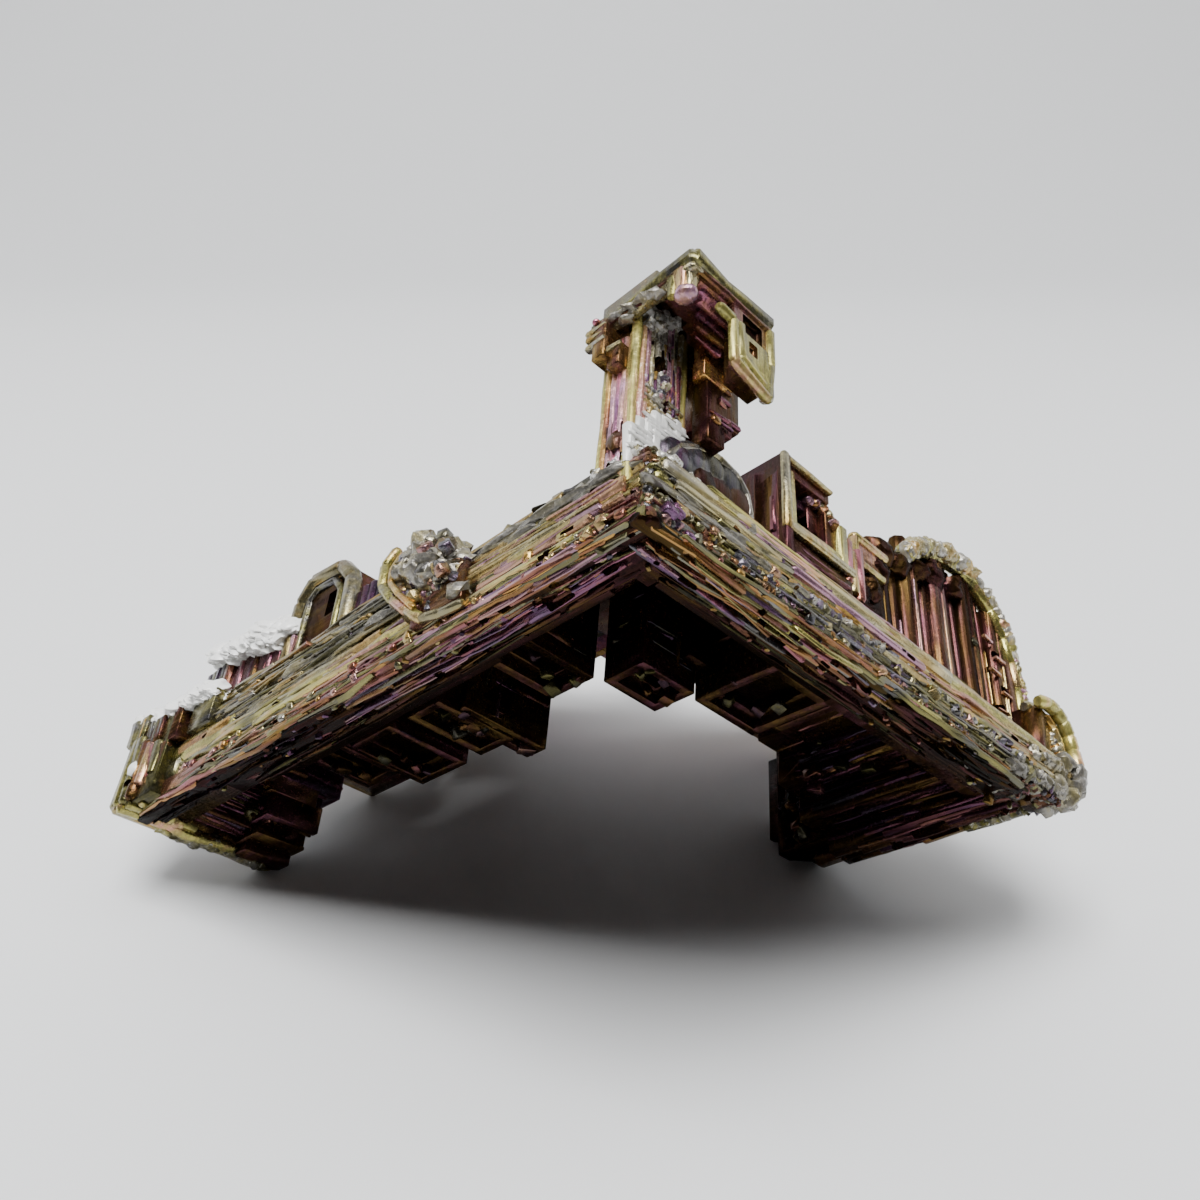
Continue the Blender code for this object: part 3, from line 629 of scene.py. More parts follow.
def grow_right_arm():
    arm = Region("right_arm", 12, "right")
    arm.blocks([
        (0.3, RIGHT_ARM - 4.6, 0.35, 2, 0.35, ARM_DEPTH - 0.2, 0.15),
        (RIGHT_ARM - 5, RIGHT_ARM - 1.4, 0.35, 2, 1.1, ARM_DEPTH - 0.2, 0.15),
        (0.6, 22, 0.8, 1.7, 0.2, 1.1, 0.1), (2.2, 16.4, 1.6, 2.4, 0.45, 1.9, 0.08),
        (3.4, 12.4, 2.2, 2.95, 0.75, 2.4, 0.08),
    ])
    end = RIGHT_ARM - 0.8
    arm.rod(RIGHT, (0, end - 4.2), (0.5, 0.24), (0.34, 0.22), COPPER, 0.08)
    arm.rod(RIGHT, (0, 16), (0.26, 0.36), (0.22, 0.18), OLIVE, 0.4)
    arm.ridges(RIGHT, POST, (0, 14), (0.1, 0.8), 0.1, 40, (1, 5), (0.08, 0.2), (0, 0.12),
               (COPPER, OLIVE, COPPER, STEEL), (0.45, 1.1), wander=0.06)
    arm.rods(RIGHT, [
        (0.3, end - 3, 0.35, 0.68, 0.3, 0.2, OLIVE, 0.7),
        (0.8, end - 1.8, 0.42, 1.1, 0.3, 0.26, COPPER, 0.6), (0.5, end, 0.36, 1.6, 0.34, 0.28, OLIVE, 0.9),
        (0.4, end + 0.3, 0.34, 2.1, 0.32, 0.24, LIME, 0.95), (0.4, end + 0.4, 0.4, 2.6, 0.34, 0.3, STRAW),
    ])
    bands = [
        ((0.1, 0.8), 50, (OLIVE, OLIVE, COPPER), (0.4, 0.9), (0.07, 0.2)),
        ((0.7, 1.5), 70, (OLIVE, OLIVE, STRAW, STEEL), (0.4, 1), (0.07, 0.2)),
        ((1.4, 2.2), 70, (STRAW, OLIVE, GOLD, PEACH), (0.5, 1.1), (0.07, 0.24)),
        ((2.1, 2.95), 80, (LIME, STRAW, PEACH, LIME), (0.35, 1), (0.07, 0.24)),
    ]
    for across, count, films, shades, widths in bands:
        arm.ridges(RIGHT, LEFT, (0.5, end - 3.2 + 1.2 * across[0]), across, 0.05, count, (1.5, 8), widths,
                   (0, 0.12), films, shades, wander=0.05)
    # Wider, smoother bars that stand out.
    arm.ridges(RIGHT, LEFT, (1, end), (1.3, 2.2), 0.05, 9, (3, 8), (0.2, 0.4), (0.1, 0.18),
               (STRAW, OLIVE, GOLD), (0.6, 0.9), wander=0.03)
    arm.ridges(RIGHT, LEFT, (1, end), (2, 2.95), 0.05, 14, (4, 10), (0.3, 0.5), (0.12, 0.2),
               (LIME, LIME, STRAW), (0.9, 1.1), wander=0.02)
    arm.rod(RIGHT, (0.6, 9), (0.02, 2.6), (0.2, 0.32), STRAW, 1, 0.2, wander=0.015)
    arm.ridges(RIGHT, LEFT, (0.6, 16), (2.25, 2.95), -0.16, 26, (2, 7), (0.06, 0.16), (0, 0.05),
               (LIME, STRAW, PEACH, MAUVE), (0.7, 1.1), wander=0.02)
    arm.rod(RIGHT, (8.4, 17), (-0.02, 2.6), (0.2, 0.3), STRAW, 1.1, 0.1, wander=0.015)
    arm.rod(RIGHT, (16, 25.5), (0, 2.62), (0.2, 0.26), LIME, 1, 0.1, wander=0.015)
    arm.rod(RIGHT, (1.2, 6.5), (-0.04, 2.1), (0.16, 0.2), STRAW, 0.9, 0.1, wander=0.02)
    arm.rod(RIGHT, (7, 15), (-0.04, 2.15), (0.16, 0.18), MAUVE, 0.9, 0.1, wander=0.02)
    for right, height in ((1.2, 1.7), (2.2, 2), (3.2, 1.6), (4.4, 1.8), (5.8, 1.5), (7.4, 1.6)):
        arm.lump((right, 0.2, height), (1.2, 0.32, 0.26), SILVER, 0.55, 0.3, 0.4, 1.4)
    # Broken grey chips along its middle.
    arm.trail([(8, 0.1, 1.5), (14, 0.1, 1.6), (19, 0.1, 1.4), (25, 0.1, 1.2)], 0.3, 70,
              (SILVER, STEEL, OLIVE), (0.5, 1.1), 0.25, 0.5)
    arm.crumbs(
        RIGHT, LEFT, (9, 22), (0.9, 1.9), 0, 24, (0.2, 0.5), (SILVER, STEEL, STEEL, STRAW), (0.3, 0.9), 0.8)
    arm.crumbs(
        RIGHT, LEFT, (4, 10), (1.9, 2.9), 0, 16, (0.15, 0.4), (SILVER, STEEL, VIOLET), (0.3, 0.8), 0.6)
    # The low face, rough, and dark with painted shade: nearly black along its far half.
    arm.ridge_bands(RIGHT, POST, [
        ((0.6, 14), (0.3, 1.2), 0.12, 60, (0.6, 4), (0.06, 0.22), (0, 0.16), (COPPER, OLIVE, COPPER, ROSE),
         (0.4, 0.9)),
        ((13, end - 4), (0.1, 1.2), 0.1, 60, (0.6, 4), (0.06, 0.22), (0, 0.16), (COPPER, OLIVE, COPPER),
         (0.03, 0.15)),
    ], wander=0.06)
    arm.ridge_bands(RIGHT, POST, [
        ((0.6, 9), (1.2, 1.5), 0.06, 10, (1.5, 6), (0.08, 0.2), (0.02, 0.12), (VIOLET, STEEL, MAUVE),
         (0.3, 0.7)),
        ((2, 18), (1.4, 2.1), 0.18, 60, (0.6, 4), (0.06, 0.22), (0, 0.14), (COPPER, OLIVE, COPPER),
         (0.06, 0.2)),
    ])
    arm.crumbs(RIGHT, LEFT, (0.5, end - 1), (0.2, 1.6), 0, 40, (0.12, 0.4),
               (GOLD, COPPER, PEACH, STRAW, STEEL), (0.5, 1.2), 0.3)
    arm.trail([(0.4, 0.1, 0.5), (4, 0.1, 0.7), (9, 0.1, 0.6), (14, 0.1, 0.7)], 0.2, 60,
              (COPPER, PEACH, OLIVE, STEEL, MAUVE), (0.3, 0.8), 0, 0.5)
    arm.trail([(0.6, 0.1, 1.2), (5, 0.1, 1.1), (9, 0.1, 1.2)], 0.2, 34, (COPPER, STRAW, OLIVE, STEEL),
              (0.3, 0.8), 0.1, 0.5)
    arm.trail([(12, 0.1, 0.5), (18, 0.1, 0.6), (25, 0.1, 0.5)], 0.18, 50, (OLIVE, COPPER, STEEL), (0.2, 0.6),
              0, 0.5)
    arm.trail([(21.4, 0.5, 0.5), (23.6, 0.5, 1), (25.8, 0.5, 1.3)], 0.5, 26, (OLIVE, COPPER, SILVER),
              (0.2, 0.5), 0.2, 0.5)
    arm.trail([(21.6, 1.3, 0.7), (23.8, 1.4, 1.2), (26, 1.4, 1.5)], 0.5, 22, (OLIVE, COPPER, SILVER),
              (0.15, 0.4), 0.2, 0.5)
    # Its end, closed with grey lumps.
    arm.trail([(21, 0.1, 0.6), (24, 0, 1), (26.6, 0.2, 1.2)], 0.36, 34, (SILVER, OLIVE, SILVER), (0.35, 0.7),
              0.25, 0.5)
    arm.trail([(23, 0, 2), (25, 0, 2.2), (26.6, 0.1, 2.4)], 0.36, 22, (SILVER, STRAW, SILVER), (0.4, 0.8),
              0.25, 0.5)
    arm.crumbs(RIGHT, POST, (0.5, 24), (0.1, 2), 0.1, 60, (0.08, 0.3), (GOLD, COPPER, OLIVE, STEEL),
               (0.2, 0.7), 0.3)
    arm.holes(RIGHT, LEFT, (0.5, 25), (0.3, 2.2), 0.1, 34, (0.06, 0.16), (0.1, 0.35))
    arm.holes(RIGHT, POST, (0.5, 22), (0.2, 1.9), 0.1, 30, (0.08, 0.3), (0.1, 0.35))
    return arm


def grow_post():
    post = Region("post", 21, "post")
    draw = post.random.uniform
    top = POST_TOP
    post.blocks([
        (0.15, 2.55, 1.12, 2.1, 2.4, top, 0.8, STRAW), (0.06, 1.6, 1.2, 2.5, 2.2, 5.2, 0.4),
        (0.2, 3.1, 0.3, 2.9, 0.5, 3.3, 0.3),
    ])
    # Upright bands of the main face: lime at its edges, and pink, straw and silver between; their shades
    # above 1 are painted light on a face that the cap shades.
    bands = [
        (0.16, 1.8, 0, 0.17, LIME, 1.4, 0.3), (0.42, 1.6, 0.3, 0.12, PEACH, 1.5, 0.4),
        (0.64, 1.8, 0.5, 0.12, MAUVE, 1.5, 0.4), (0.9, 5.6, 0.2, 0.15, STRAW, 1.4, 0.42),
        (1.18, 5.8, 0, 0.15, SILVER, 1.3, 0.45), (1.45, 5.6, 0.2, 0.15, SILVER, 1.5, 0.45),
        (1.72, 5.7, 0.1, 0.14, MAUVE, 1.5, 0.42), (2.02, 5.6, 0, 0.16, STRAW, 1.5, 0.42),
        (2.3, 2.2, 0, 0.14, STRAW, 1.5, 0.4), (2.56, 1.8, 0, 0.16, LIME, 1.4, 0.3),
    ]
    for right, low, drop, half, film, shade, bare in bands:
        post.rod(POST, (low, top - drop), (right, 1.18), (half, 0.2), film, shade, bare, wander=0.015)
    post.rod(POST, (6.2, 8.6), (1.9, 1.08), (0.08, 0.16), VIOLET, 1.2, wander=0.03)
    post.rod(POST, (6.6, 9), (2.2, 1.04), (0.07, 0.14), ROSE, 1.2, wander=0.03)
    # The broken middle.
    post.ridges(POST, LEFT, (5.8, top), (0.5, 2.3), 1.02, 26, (0.4, 2), (0.08, 0.24), (0, 0.12),
                (GOLD, STRAW, MAUVE, SILVER, VIOLET), (0.7, 1.3), wander=0.04, bare=0.35)
    post.ridges(RIGHT, LEFT, (0.3, 2.5), (5.6, 6.9), 1.02, 16, (0.5, 2), (0.06, 0.2), (0, 0.14),
                (STRAW, STRAW, SILVER, STEEL), (0.7, 1.3), wander=0.04, bare=0.4)
    post.trail([(1.2, 1, 6.6), (1.5, 1, 7.4), (1.2, 1, 8.6)], 0.22, 22, (SILVER, STEEL, STRAW, MAUVE),
               (0.5, 1.2), 0.4, 0.5)
    post.holes(POST, LEFT, (6.2, 9.4), (0.7, 1.9), 1, 6, (0.08, 0.18), (0.3, 0.6))
    post.pit((0.95, 1.4), (0.6, 1.5), (7.9, 8.6), 0.1, lean=0.4)
    # Molten beads where it meets the cap.
    for right, height, size in (
        (0.2, 10.2, 0.4), (0.75, 10.4, 0.5), (1.3, 10.7, 0.45), (1.8, 10.9, 0.4), (0.5, 9.8, 0.3),
        (1, 10, 0.3),
    ):
        post.lump((right, 0.9, height), (size, 0.28, size * 0.6), SILVER, 1.1, 0.5, 0.7)
    # Bare metal where the post has lost its skin, half painted white as a highlight.
    for right, low, high in (
        (0.1, 2.9, 4.6), (0.45, 3, 5.2), (0.8, 3.2, 5.5), (1.15, 3.3, 5.9), (1.5, 3.5, 6.1),
        (1.85, 3.8, 6.4), (2.2, 4, 6.3), (2.5, 4.4, 6.2),
    ):
        post.rod(POST, (low, high), (right, 1.1), (0.24, 0.2), SILVER, 1, 1.42, wander=0.02)
    for _ in range(26):
        right = draw(0.2, 2.4)
        height = 3.3 + 0.6 * right + draw(-0.3, 1.6)
        post.lump((right, 0.9, height), (0.5, 0.06, 0.1), SILVER, 1, 1.4, 0.3, 1.4)
    # The narrow left face.
    for left, film in (
        (1.12, LIME), (1.32, PEACH), (1.55, MAUVE), (1.8, ROSE), (2.05, MAUVE), (2.3, GOLD), (2.45, LIME),
    ):
        post.rod(POST, (1.9, top - 1.6), (0.13, left), (0.14, 0.13), film, 1.3, 0.3, wander=0.012)
    post.lump((0, 1.6, 4.1), (0.25, 0.4, 0.45), COPPER, 0.3, 0.3, 0.5)
    post.holes(POST, RIGHT, (2.2, 5), (1.2, 2.3), 0, 4, (0.12, 0.3), (0.1, 0.3))
    # The foot of the post, rough and half bare.
    for face, other in ((LEFT, RIGHT), (RIGHT, LEFT)):
        post.ridges(other, face, (0.1, 3), (0.5, 3.3), 0.2, 30, (0.6, 2.6), (0.08, 0.3), (0, 0.14),
                    (STRAW, STEEL, OLIVE, PEACH), (0.3, 0.9), wander=0.06)
    post.trail([(0.3, 0.3, 0.7), (0.3, 0.3, 2), (0.4, 0.4, 3.3)], 0.22, 24, (STRAW, OLIVE, COPPER, STEEL),
               (0.3, 0.8), 0.1, 0.5)
    post.trail([(0.15, 2.6, 3.2), (0.3, 0.8, 3.3), (1.2, 0.3, 3.2), (2.8, 0.3, 2.9)], 0.3, 34,
               (SILVER, STRAW, STEEL), (0.6, 1.1), 0.5, 0.5)
    for right, left, height, size in (
        (0.7, 0.8, 3.1, 0.6), (1.6, 0.8, 3.3, 0.6), (2.4, 0.7, 3, 0.5), (1.1, 0.5, 2.8, 0.5),
    ):
        post.lump((right, left, height), (size, size * 0.5, size * 0.6), SILVER, 0.9, 1, 0.4, 1.2)
    return post


def grow_cap():
    cap = Region("cap", 22, "post")
    # Rims of the two faces that meet in the top corner, each inside a wider one.
    cap.rod(LEFT, (-2.04, 2.95), (-0.25, 10.25), (0.3, 0.32), OLIVE, 0.7)
    cap.rod(LEFT, (-2, 2.9), (-0.12, 9.85), (0.25, 0.2), STRAW, 0.8)
    cap.rod(RIGHT, (-0.44, 3.85), (-1.85, 10.25), (0.3, 0.32), OLIVE, 0.8)
    cap.rod(RIGHT, (-0.3, 3.7), (-1.8, 9.85), (0.2, 0.18), COPPER, 0.5)
    cap.rod(POST, (6.4, 10.4), (3.6, -1.85), (0.25, 0.28), OLIVE, 0.9)
    cap.lump((-0.22, -1.82, 10.2), (0.34, 0.34, 0.34), OLIVE, 0.8, 0.2, 0.1)
    cap.blocks([
        (-0.45, 3.8, -1.4, 2.3, 9.8, 10.4, 0.3), (0.8, 3.7, -1.6, 2.4, 10.3, 11.2, 0.6, STRAW),
        (-0.35, 3, -0.2, 2.5, 10.3, 11.1, 0.6, STRAW),
    ])
    # The hollow where the post runs up into it.
    cap.pits([
        (0.05, 0.7, -0.15, 1.4, 9, 10.9, 0.2), (0.6, 1.4, -0.1, 1.4, 9, 10.9, 0.2),
        (1.3, 2, 0.2, 1.4, 9, 10.9, 0.2), (1.9, 2.65, 0.5, 1.4, 9, 10.9, 0.2),
    ])
    # The rounded pillar in the corner.
    cap.rods(POST, [
        (8.8, 10.2, -0.05, -1.55, 0.34, 0.32, STRAW), (8.9, 10.1, -0.28, -1.35, 0.26, 0.34, PEACH, 1.1),
        (9, 10, -0.3, -0.95, 0.16, 0.2, LIME, 0.9),
    ], wander=0.02)
    cap.lump((-0.15, -1.45, 8.85), (0.4, 0.45, 0.3), MAUVE, 1, 0.2, 0.1)
    # Terraces that step into the recess of the right face.
    for step in range(6):
        inner = 0.27 * step
        cap.rod(RIGHT, (0.2 + 1.05 * inner, 3.4 - 0.4 * inner), (-1.65 + inner, 9.85 - 0.5 * inner),
                (0.2, 0.16), (COPPER, ROSE)[step % 2], 0.7)
    # The plate down its far side, with a dark square hole and a lime rim.
    cap.block((1.7, 3.7), (-2, -1.7), (6.6, 9.7), 0.5)
    cap.block((2.4, 3.7), (-1.8, -0.9), (6.9, 9.7), 0.3)
    cap.bent_beam(
        [(0.9, -2, 8.75), (1.65, -2, 8.7), (1.7, -2, 6.75), (3.4, -2, 6.2), (3.6, -2, 7.9), (3.6, -2, 9.7)],
        0.2, LIME, 0.9, 0.2)
    cap.bent_beam([(1.95, -2, 8.7), (2, -2, 7.1), (3.2, -2, 6.6)], 0.22, LIME, 1, 0.2)
    cap.block((1.9, 3.4), (-2.15, -1.7), (6.7, 8.4), 0.8, LIME, 0.2)
    cap.pit((2.15, 3.2), (-2.6, -1.75), (8.35, 9.5), 0.08)
    cap.pit((2.3, 2.75), (-2.6, -1.95), (7.5, 8.1), 0.4)
    cap.lump((2.5, -1.95, 7.75), (0.2, 0.14, 0.22), PEACH, 1.4, 0, 0.2)
    # Boxes under it, beside the post; the first two are painted lighter, painted light on faces that lie in
    # shade here.
    cap.blocks([
        (2.45, 3.7, 0, 0.6, 8.2, 9.9, 1.8), (3, 3.7, 0.5, 1.1, 8.2, 9.9, 1.6),
        (2.8, 3.7, 1, 2.2, 8, 9.9, 0.6), (2.72, 4.1, 0.1, 0.8, 6.2, 8.3, 0.25),
        (2.72, 3.6, 0, 0.8, 5.3, 6.3, 0.2), (2.8, 3.9, 0.7, 1.8, 6.2, 8.3, 0.4),
        (3.4, 4.7, 0.3, 2.3, 7, 9.2, 0.3), (2.9, 4, 1.4, 2.6, 7.4, 8.8, 0.2),
        (3.5, 4.3, -0.8, 0.6, 8.8, 10, 0.5),
    ])
    cap.rod(RIGHT, (2.75, 4.7), (0.25, 7.1), (0.12, 0.1), ROSE, 0.5)
    cap.rod(LEFT, (0.3, 1.6), (4.65, 7.1), (0.12, 0.12), OLIVE, 0.7)
    cap.block((2.9, 3.3), (-0.1, 0.5), (6.2, 6.5), 0.9, GOLD)
    cap.ridges(RIGHT, LEFT, (2.8, 4), (6.2, 9.6), 0.02, 8, (0.4, 1.2), (0.08, 0.3), (0, 0.1), (COPPER, ROSE),
               (0.3, 0.8))
    # The low left corner: small plates over a dark block.
    cap.blocks([
        (-0.7, 0.4, 1.9, 2.5, 8, 9.8, 0.5), (0.05, 0.9, 1.45, 2.25, 8, 9.8, 0.4),
        (-0.4, 0.5, 1.4, 2, 7.5, 8.6, 0.5),
    ])
    for level in (8.9, 9.3, 9.65):
        cap.rod(LEFT, (1.9, 2.9), (-0.6, level), (0.2, 0.09), STRAW, 0.9)
    cap.rod(LEFT, (1.1, 1.8), (-0.6, 8.1), (0.12, 0.1), STRAW, 1.1)
    for left, height, size in (
        (2.2, 10, 0.3), (1.6, 10, 0.34), (1, 9.9, 0.36), (0.4, 9.9, 0.34), (-0.2, 9.75, 0.3),
        (1.3, 9.6, 0.24),
    ):
        cap.lump((-0.3, left, height), (size, size * 1.1, size * 0.5), SILVER, 0.9, 0.35, 0.8)
    cap.lump((-0.55, 2.6, 10.3), (0.14, 0.16, 0.14), ROSE, 1.4, 0, 0.1)
    return cap


def grow_left_end():
    nose = Region("left_end", 23, "left")
    draw = nose.random.uniform
    # The rim, with rough lumps below and inside it.
    nose.rod(RIGHT, (-0.9, 8), (33.75, 0.3), (0.34, 0.3), STRAW, 0.7, wander=0.05)
    nose.rod(RIGHT, (-0.9, 5.2), (33.3, 0.28), (0.3, 0.27), LIME, 0.8, wander=0.05)
    nose.rod(RIGHT, (-0.7, 3), (32.8, 0.3), (0.3, 0.25), LIME, 0.9, wander=0.06)
    nose.rod(RIGHT, (2, 7.8), (33.6, 0.8), (0.4, 0.35), COPPER, 0.35)
    for _ in range(26):
        right = draw(1.5, 7.6)
        left = 33.6 + draw(-0.25, 0.2)
        size = draw(0.2, 0.42)
        nose.lump((right, left, 0.3), (size * 1.5, size, size), OLIVE, 0.6, 0.35, 0.35)
    for _ in range(16):
        right = draw(-0.4, 2.4)
        left = 32.3 + 0.35 * right + draw(-0.3, 0.3)
        size = draw(0.15, 0.3)
        nose.lump((right, left, 0.35), (size, size, size), LIME, 0.8, 0.2, 0.4)
    # Terraces of the recess, which climb away from the rim.
    terraces = [
        ((0.6, 8), (31.8, 33.8), (1, 2.3), COPPER), ((1, 8.2), (30.9, 33.6), (2.1, 3.5), ROSE),
        ((1.4, 8.6), (29.9, 33.4), (3.3, 5.2), VIOLET), ((2, 9), (29.2, 33.6), (5, 7.2), COPPER),
    ]
    for right, left, post, film in terraces:
        nose.block(right, left, post, 0.22, film)
        nose.ridges(RIGHT, POST, right, left, post[0], 16, (1, 5), (0.1, 0.3), (0, 0.14),
                    (COPPER, ROSE, VIOLET, OLIVE), (0.15, 0.5))
        nose.ridges(
            RIGHT, LEFT, right, post, left[0], 8, (1, 5), (0.1, 0.3), (0, 0.14), (COPPER, ROSE), (0.15, 0.5))
    # The rugged block that the rim ends in.
    nose.blocks([
        (4.8, 7.4, 29.95, 33.5, 2.4, 4.8, 0.2), (5, 7.9, 30.1, 33.5, 1.2, 2.6, 0.2),
        (5.2, 7.9, 31.1, 33.6, 0.6, 1.4, 0.2), (5.4, 7.9, 32.3, 33.7, 0.1, 0.8, 0.2),
    ])
    for level, across, far in ((2.5, (30, 33.4), 7.4), (1.3, (30.2, 33.4), 7.9)):
        nose.ridges(RIGHT, POST, (4.9, far), across, level, 16, (0.4, 1.6), (0.15, 0.5), (0.05, 0.25),
                    (COPPER, GOLD, ROSE, COPPER), (0.15, 0.6), wander=0.06)
        nose.holes(RIGHT, POST, (5, far), across, level, 9, (0.2, 0.5), (0.2, 0.5))
    nose.ridges(POST, RIGHT, (1, 4.8), (30, 33.4), 4.9, 26, (0.5, 1.6), (0.15, 0.5), (0.05, 0.25),
                (COPPER, GOLD, COPPER, ROSE), (0.15, 0.7), wander=0.06)
    nose.holes(POST, RIGHT, (1.2, 4.6), (30.2, 33.4), 4.9, 14, (0.2, 0.5), (0.2, 0.5))
    nose.rod(POST, (2.6, 4.6), (4.75, 30.3), (0.2, 0.3), GOLD, 0.8, wander=0.08)
    nose.lump((5.2, 31.8, 1.9), (0.7, 0.8, 0.6), OLIVE, 0.3, 0, 0.35)
    # What stands behind it, down to the table.
    nose.hopper((6.6, 12.9), (30.4, 34.1), (6.5, 11.2), LEFT, 1, 0.3, 0.4, (GOLD, COPPER, ROSE, VIOLET),
                (0.5, 0.35, 0.3, 0.3))
    nose.block((10.8, 16.4), (30.8, 33.9), (10.3, 14.2), 0.35)
    # The rounded nose: upright columns set round its corner.
    nose.block((-0.6, 1.2), (30.6, 34.2), (0.3, 4.6), 0.35, OLIVE)
    columns = [
        (-0.45, 30.9, 1.6, 3, COPPER, 0.4), (-0.5, 31.35, 1.5, 3.2, OLIVE, 0.6),
        (-0.55, 31.7, 1.4, 3.1, ROSE, 0.7), (-0.6, 32.1, 1, 3.3, PEACH, 0.8),
        (-0.7, 32.5, 0.4, 3.5, COPPER, 0.4), (-0.75, 33, 0.3, 3.8, OLIVE, 0.6),
        (-0.75, 33.5, 0.3, 3.9, OLIVE, 0.7), (-0.65, 34, 0.35, 3.9, OLIVE, 0.9),
        (-0.35, 34.4, 0.4, 3.9, LIME, 0.6), (0.1, 34.6, 0.5, 3.8, STRAW, 0.6),
        (0.6, 34.5, 0.6, 3.7, OLIVE, 0.7), (1, 34.2, 0.6, 3.6, OLIVE, 0.6),
    ]
    for right, left, low, high, film, shade in columns:
        nose.rod(POST, (low, high), (right, left), (0.3, 0.33), film, shade, wander=0.02)
    # A lump painted white on the nose's side: a painted highlight.
    nose.lump((-0.85, 32.75, 2), (0.3, 0.42, 0.45), SILVER, 1, 1.6, 0.12)
    nose.pit((-1.4, -0.7), (32.4, 33.1), (1.1, 1.45), 0.1, lean=0.2)
    # Small blocks on top of the arm's end.
    nose.block((-0.9, 0.7), (33.1, 34.9), (3.9, 5.2), 0.7, OLIVE)
    nose.rod(POST, (3.9, 5.1), (-0.75, 33.5), (0.2, 0.16), GOLD, 1.2)
    nose.rod(POST, (3.7, 5.2), (-0.75, 34.3), (0.3, 0.4), OLIVE, 0.8)
    nose.block((-0.8, 0.7), (31.4, 33.2), (3.2, 4.6), 0.4)
    for left in (31.6, 32, 32.4, 32.8):
        nose.rod(POST, (3.3, 4.6), (-0.7, left), (0.16, 0.18), STEEL, 0.7)
    nose.block((-0.6, 1), (29.9, 31.8), (3, 5.1), 0.35)
    nose.block((-0.3, 1.2), (27.4, 29.4), (3, 4.8), 0.6, OLIVE)
    # Rugged lumps along the top, painted white: painted highlights of the light on their upward faces.
    nose.painted_highlight_crust((-0.5, 34, 4), (-0.2, 32.3, 3.6), 9, 0.4)
    nose.painted_highlight_crust((-0.3, 34.3, 5.3), (-0.2, 31, 5.1), 30, 0.6)
    nose.painted_highlight_crust((-0.3, 31.2, 5.2), (-0.1, 27.6, 4.8), 34, 0.6)
    return nose


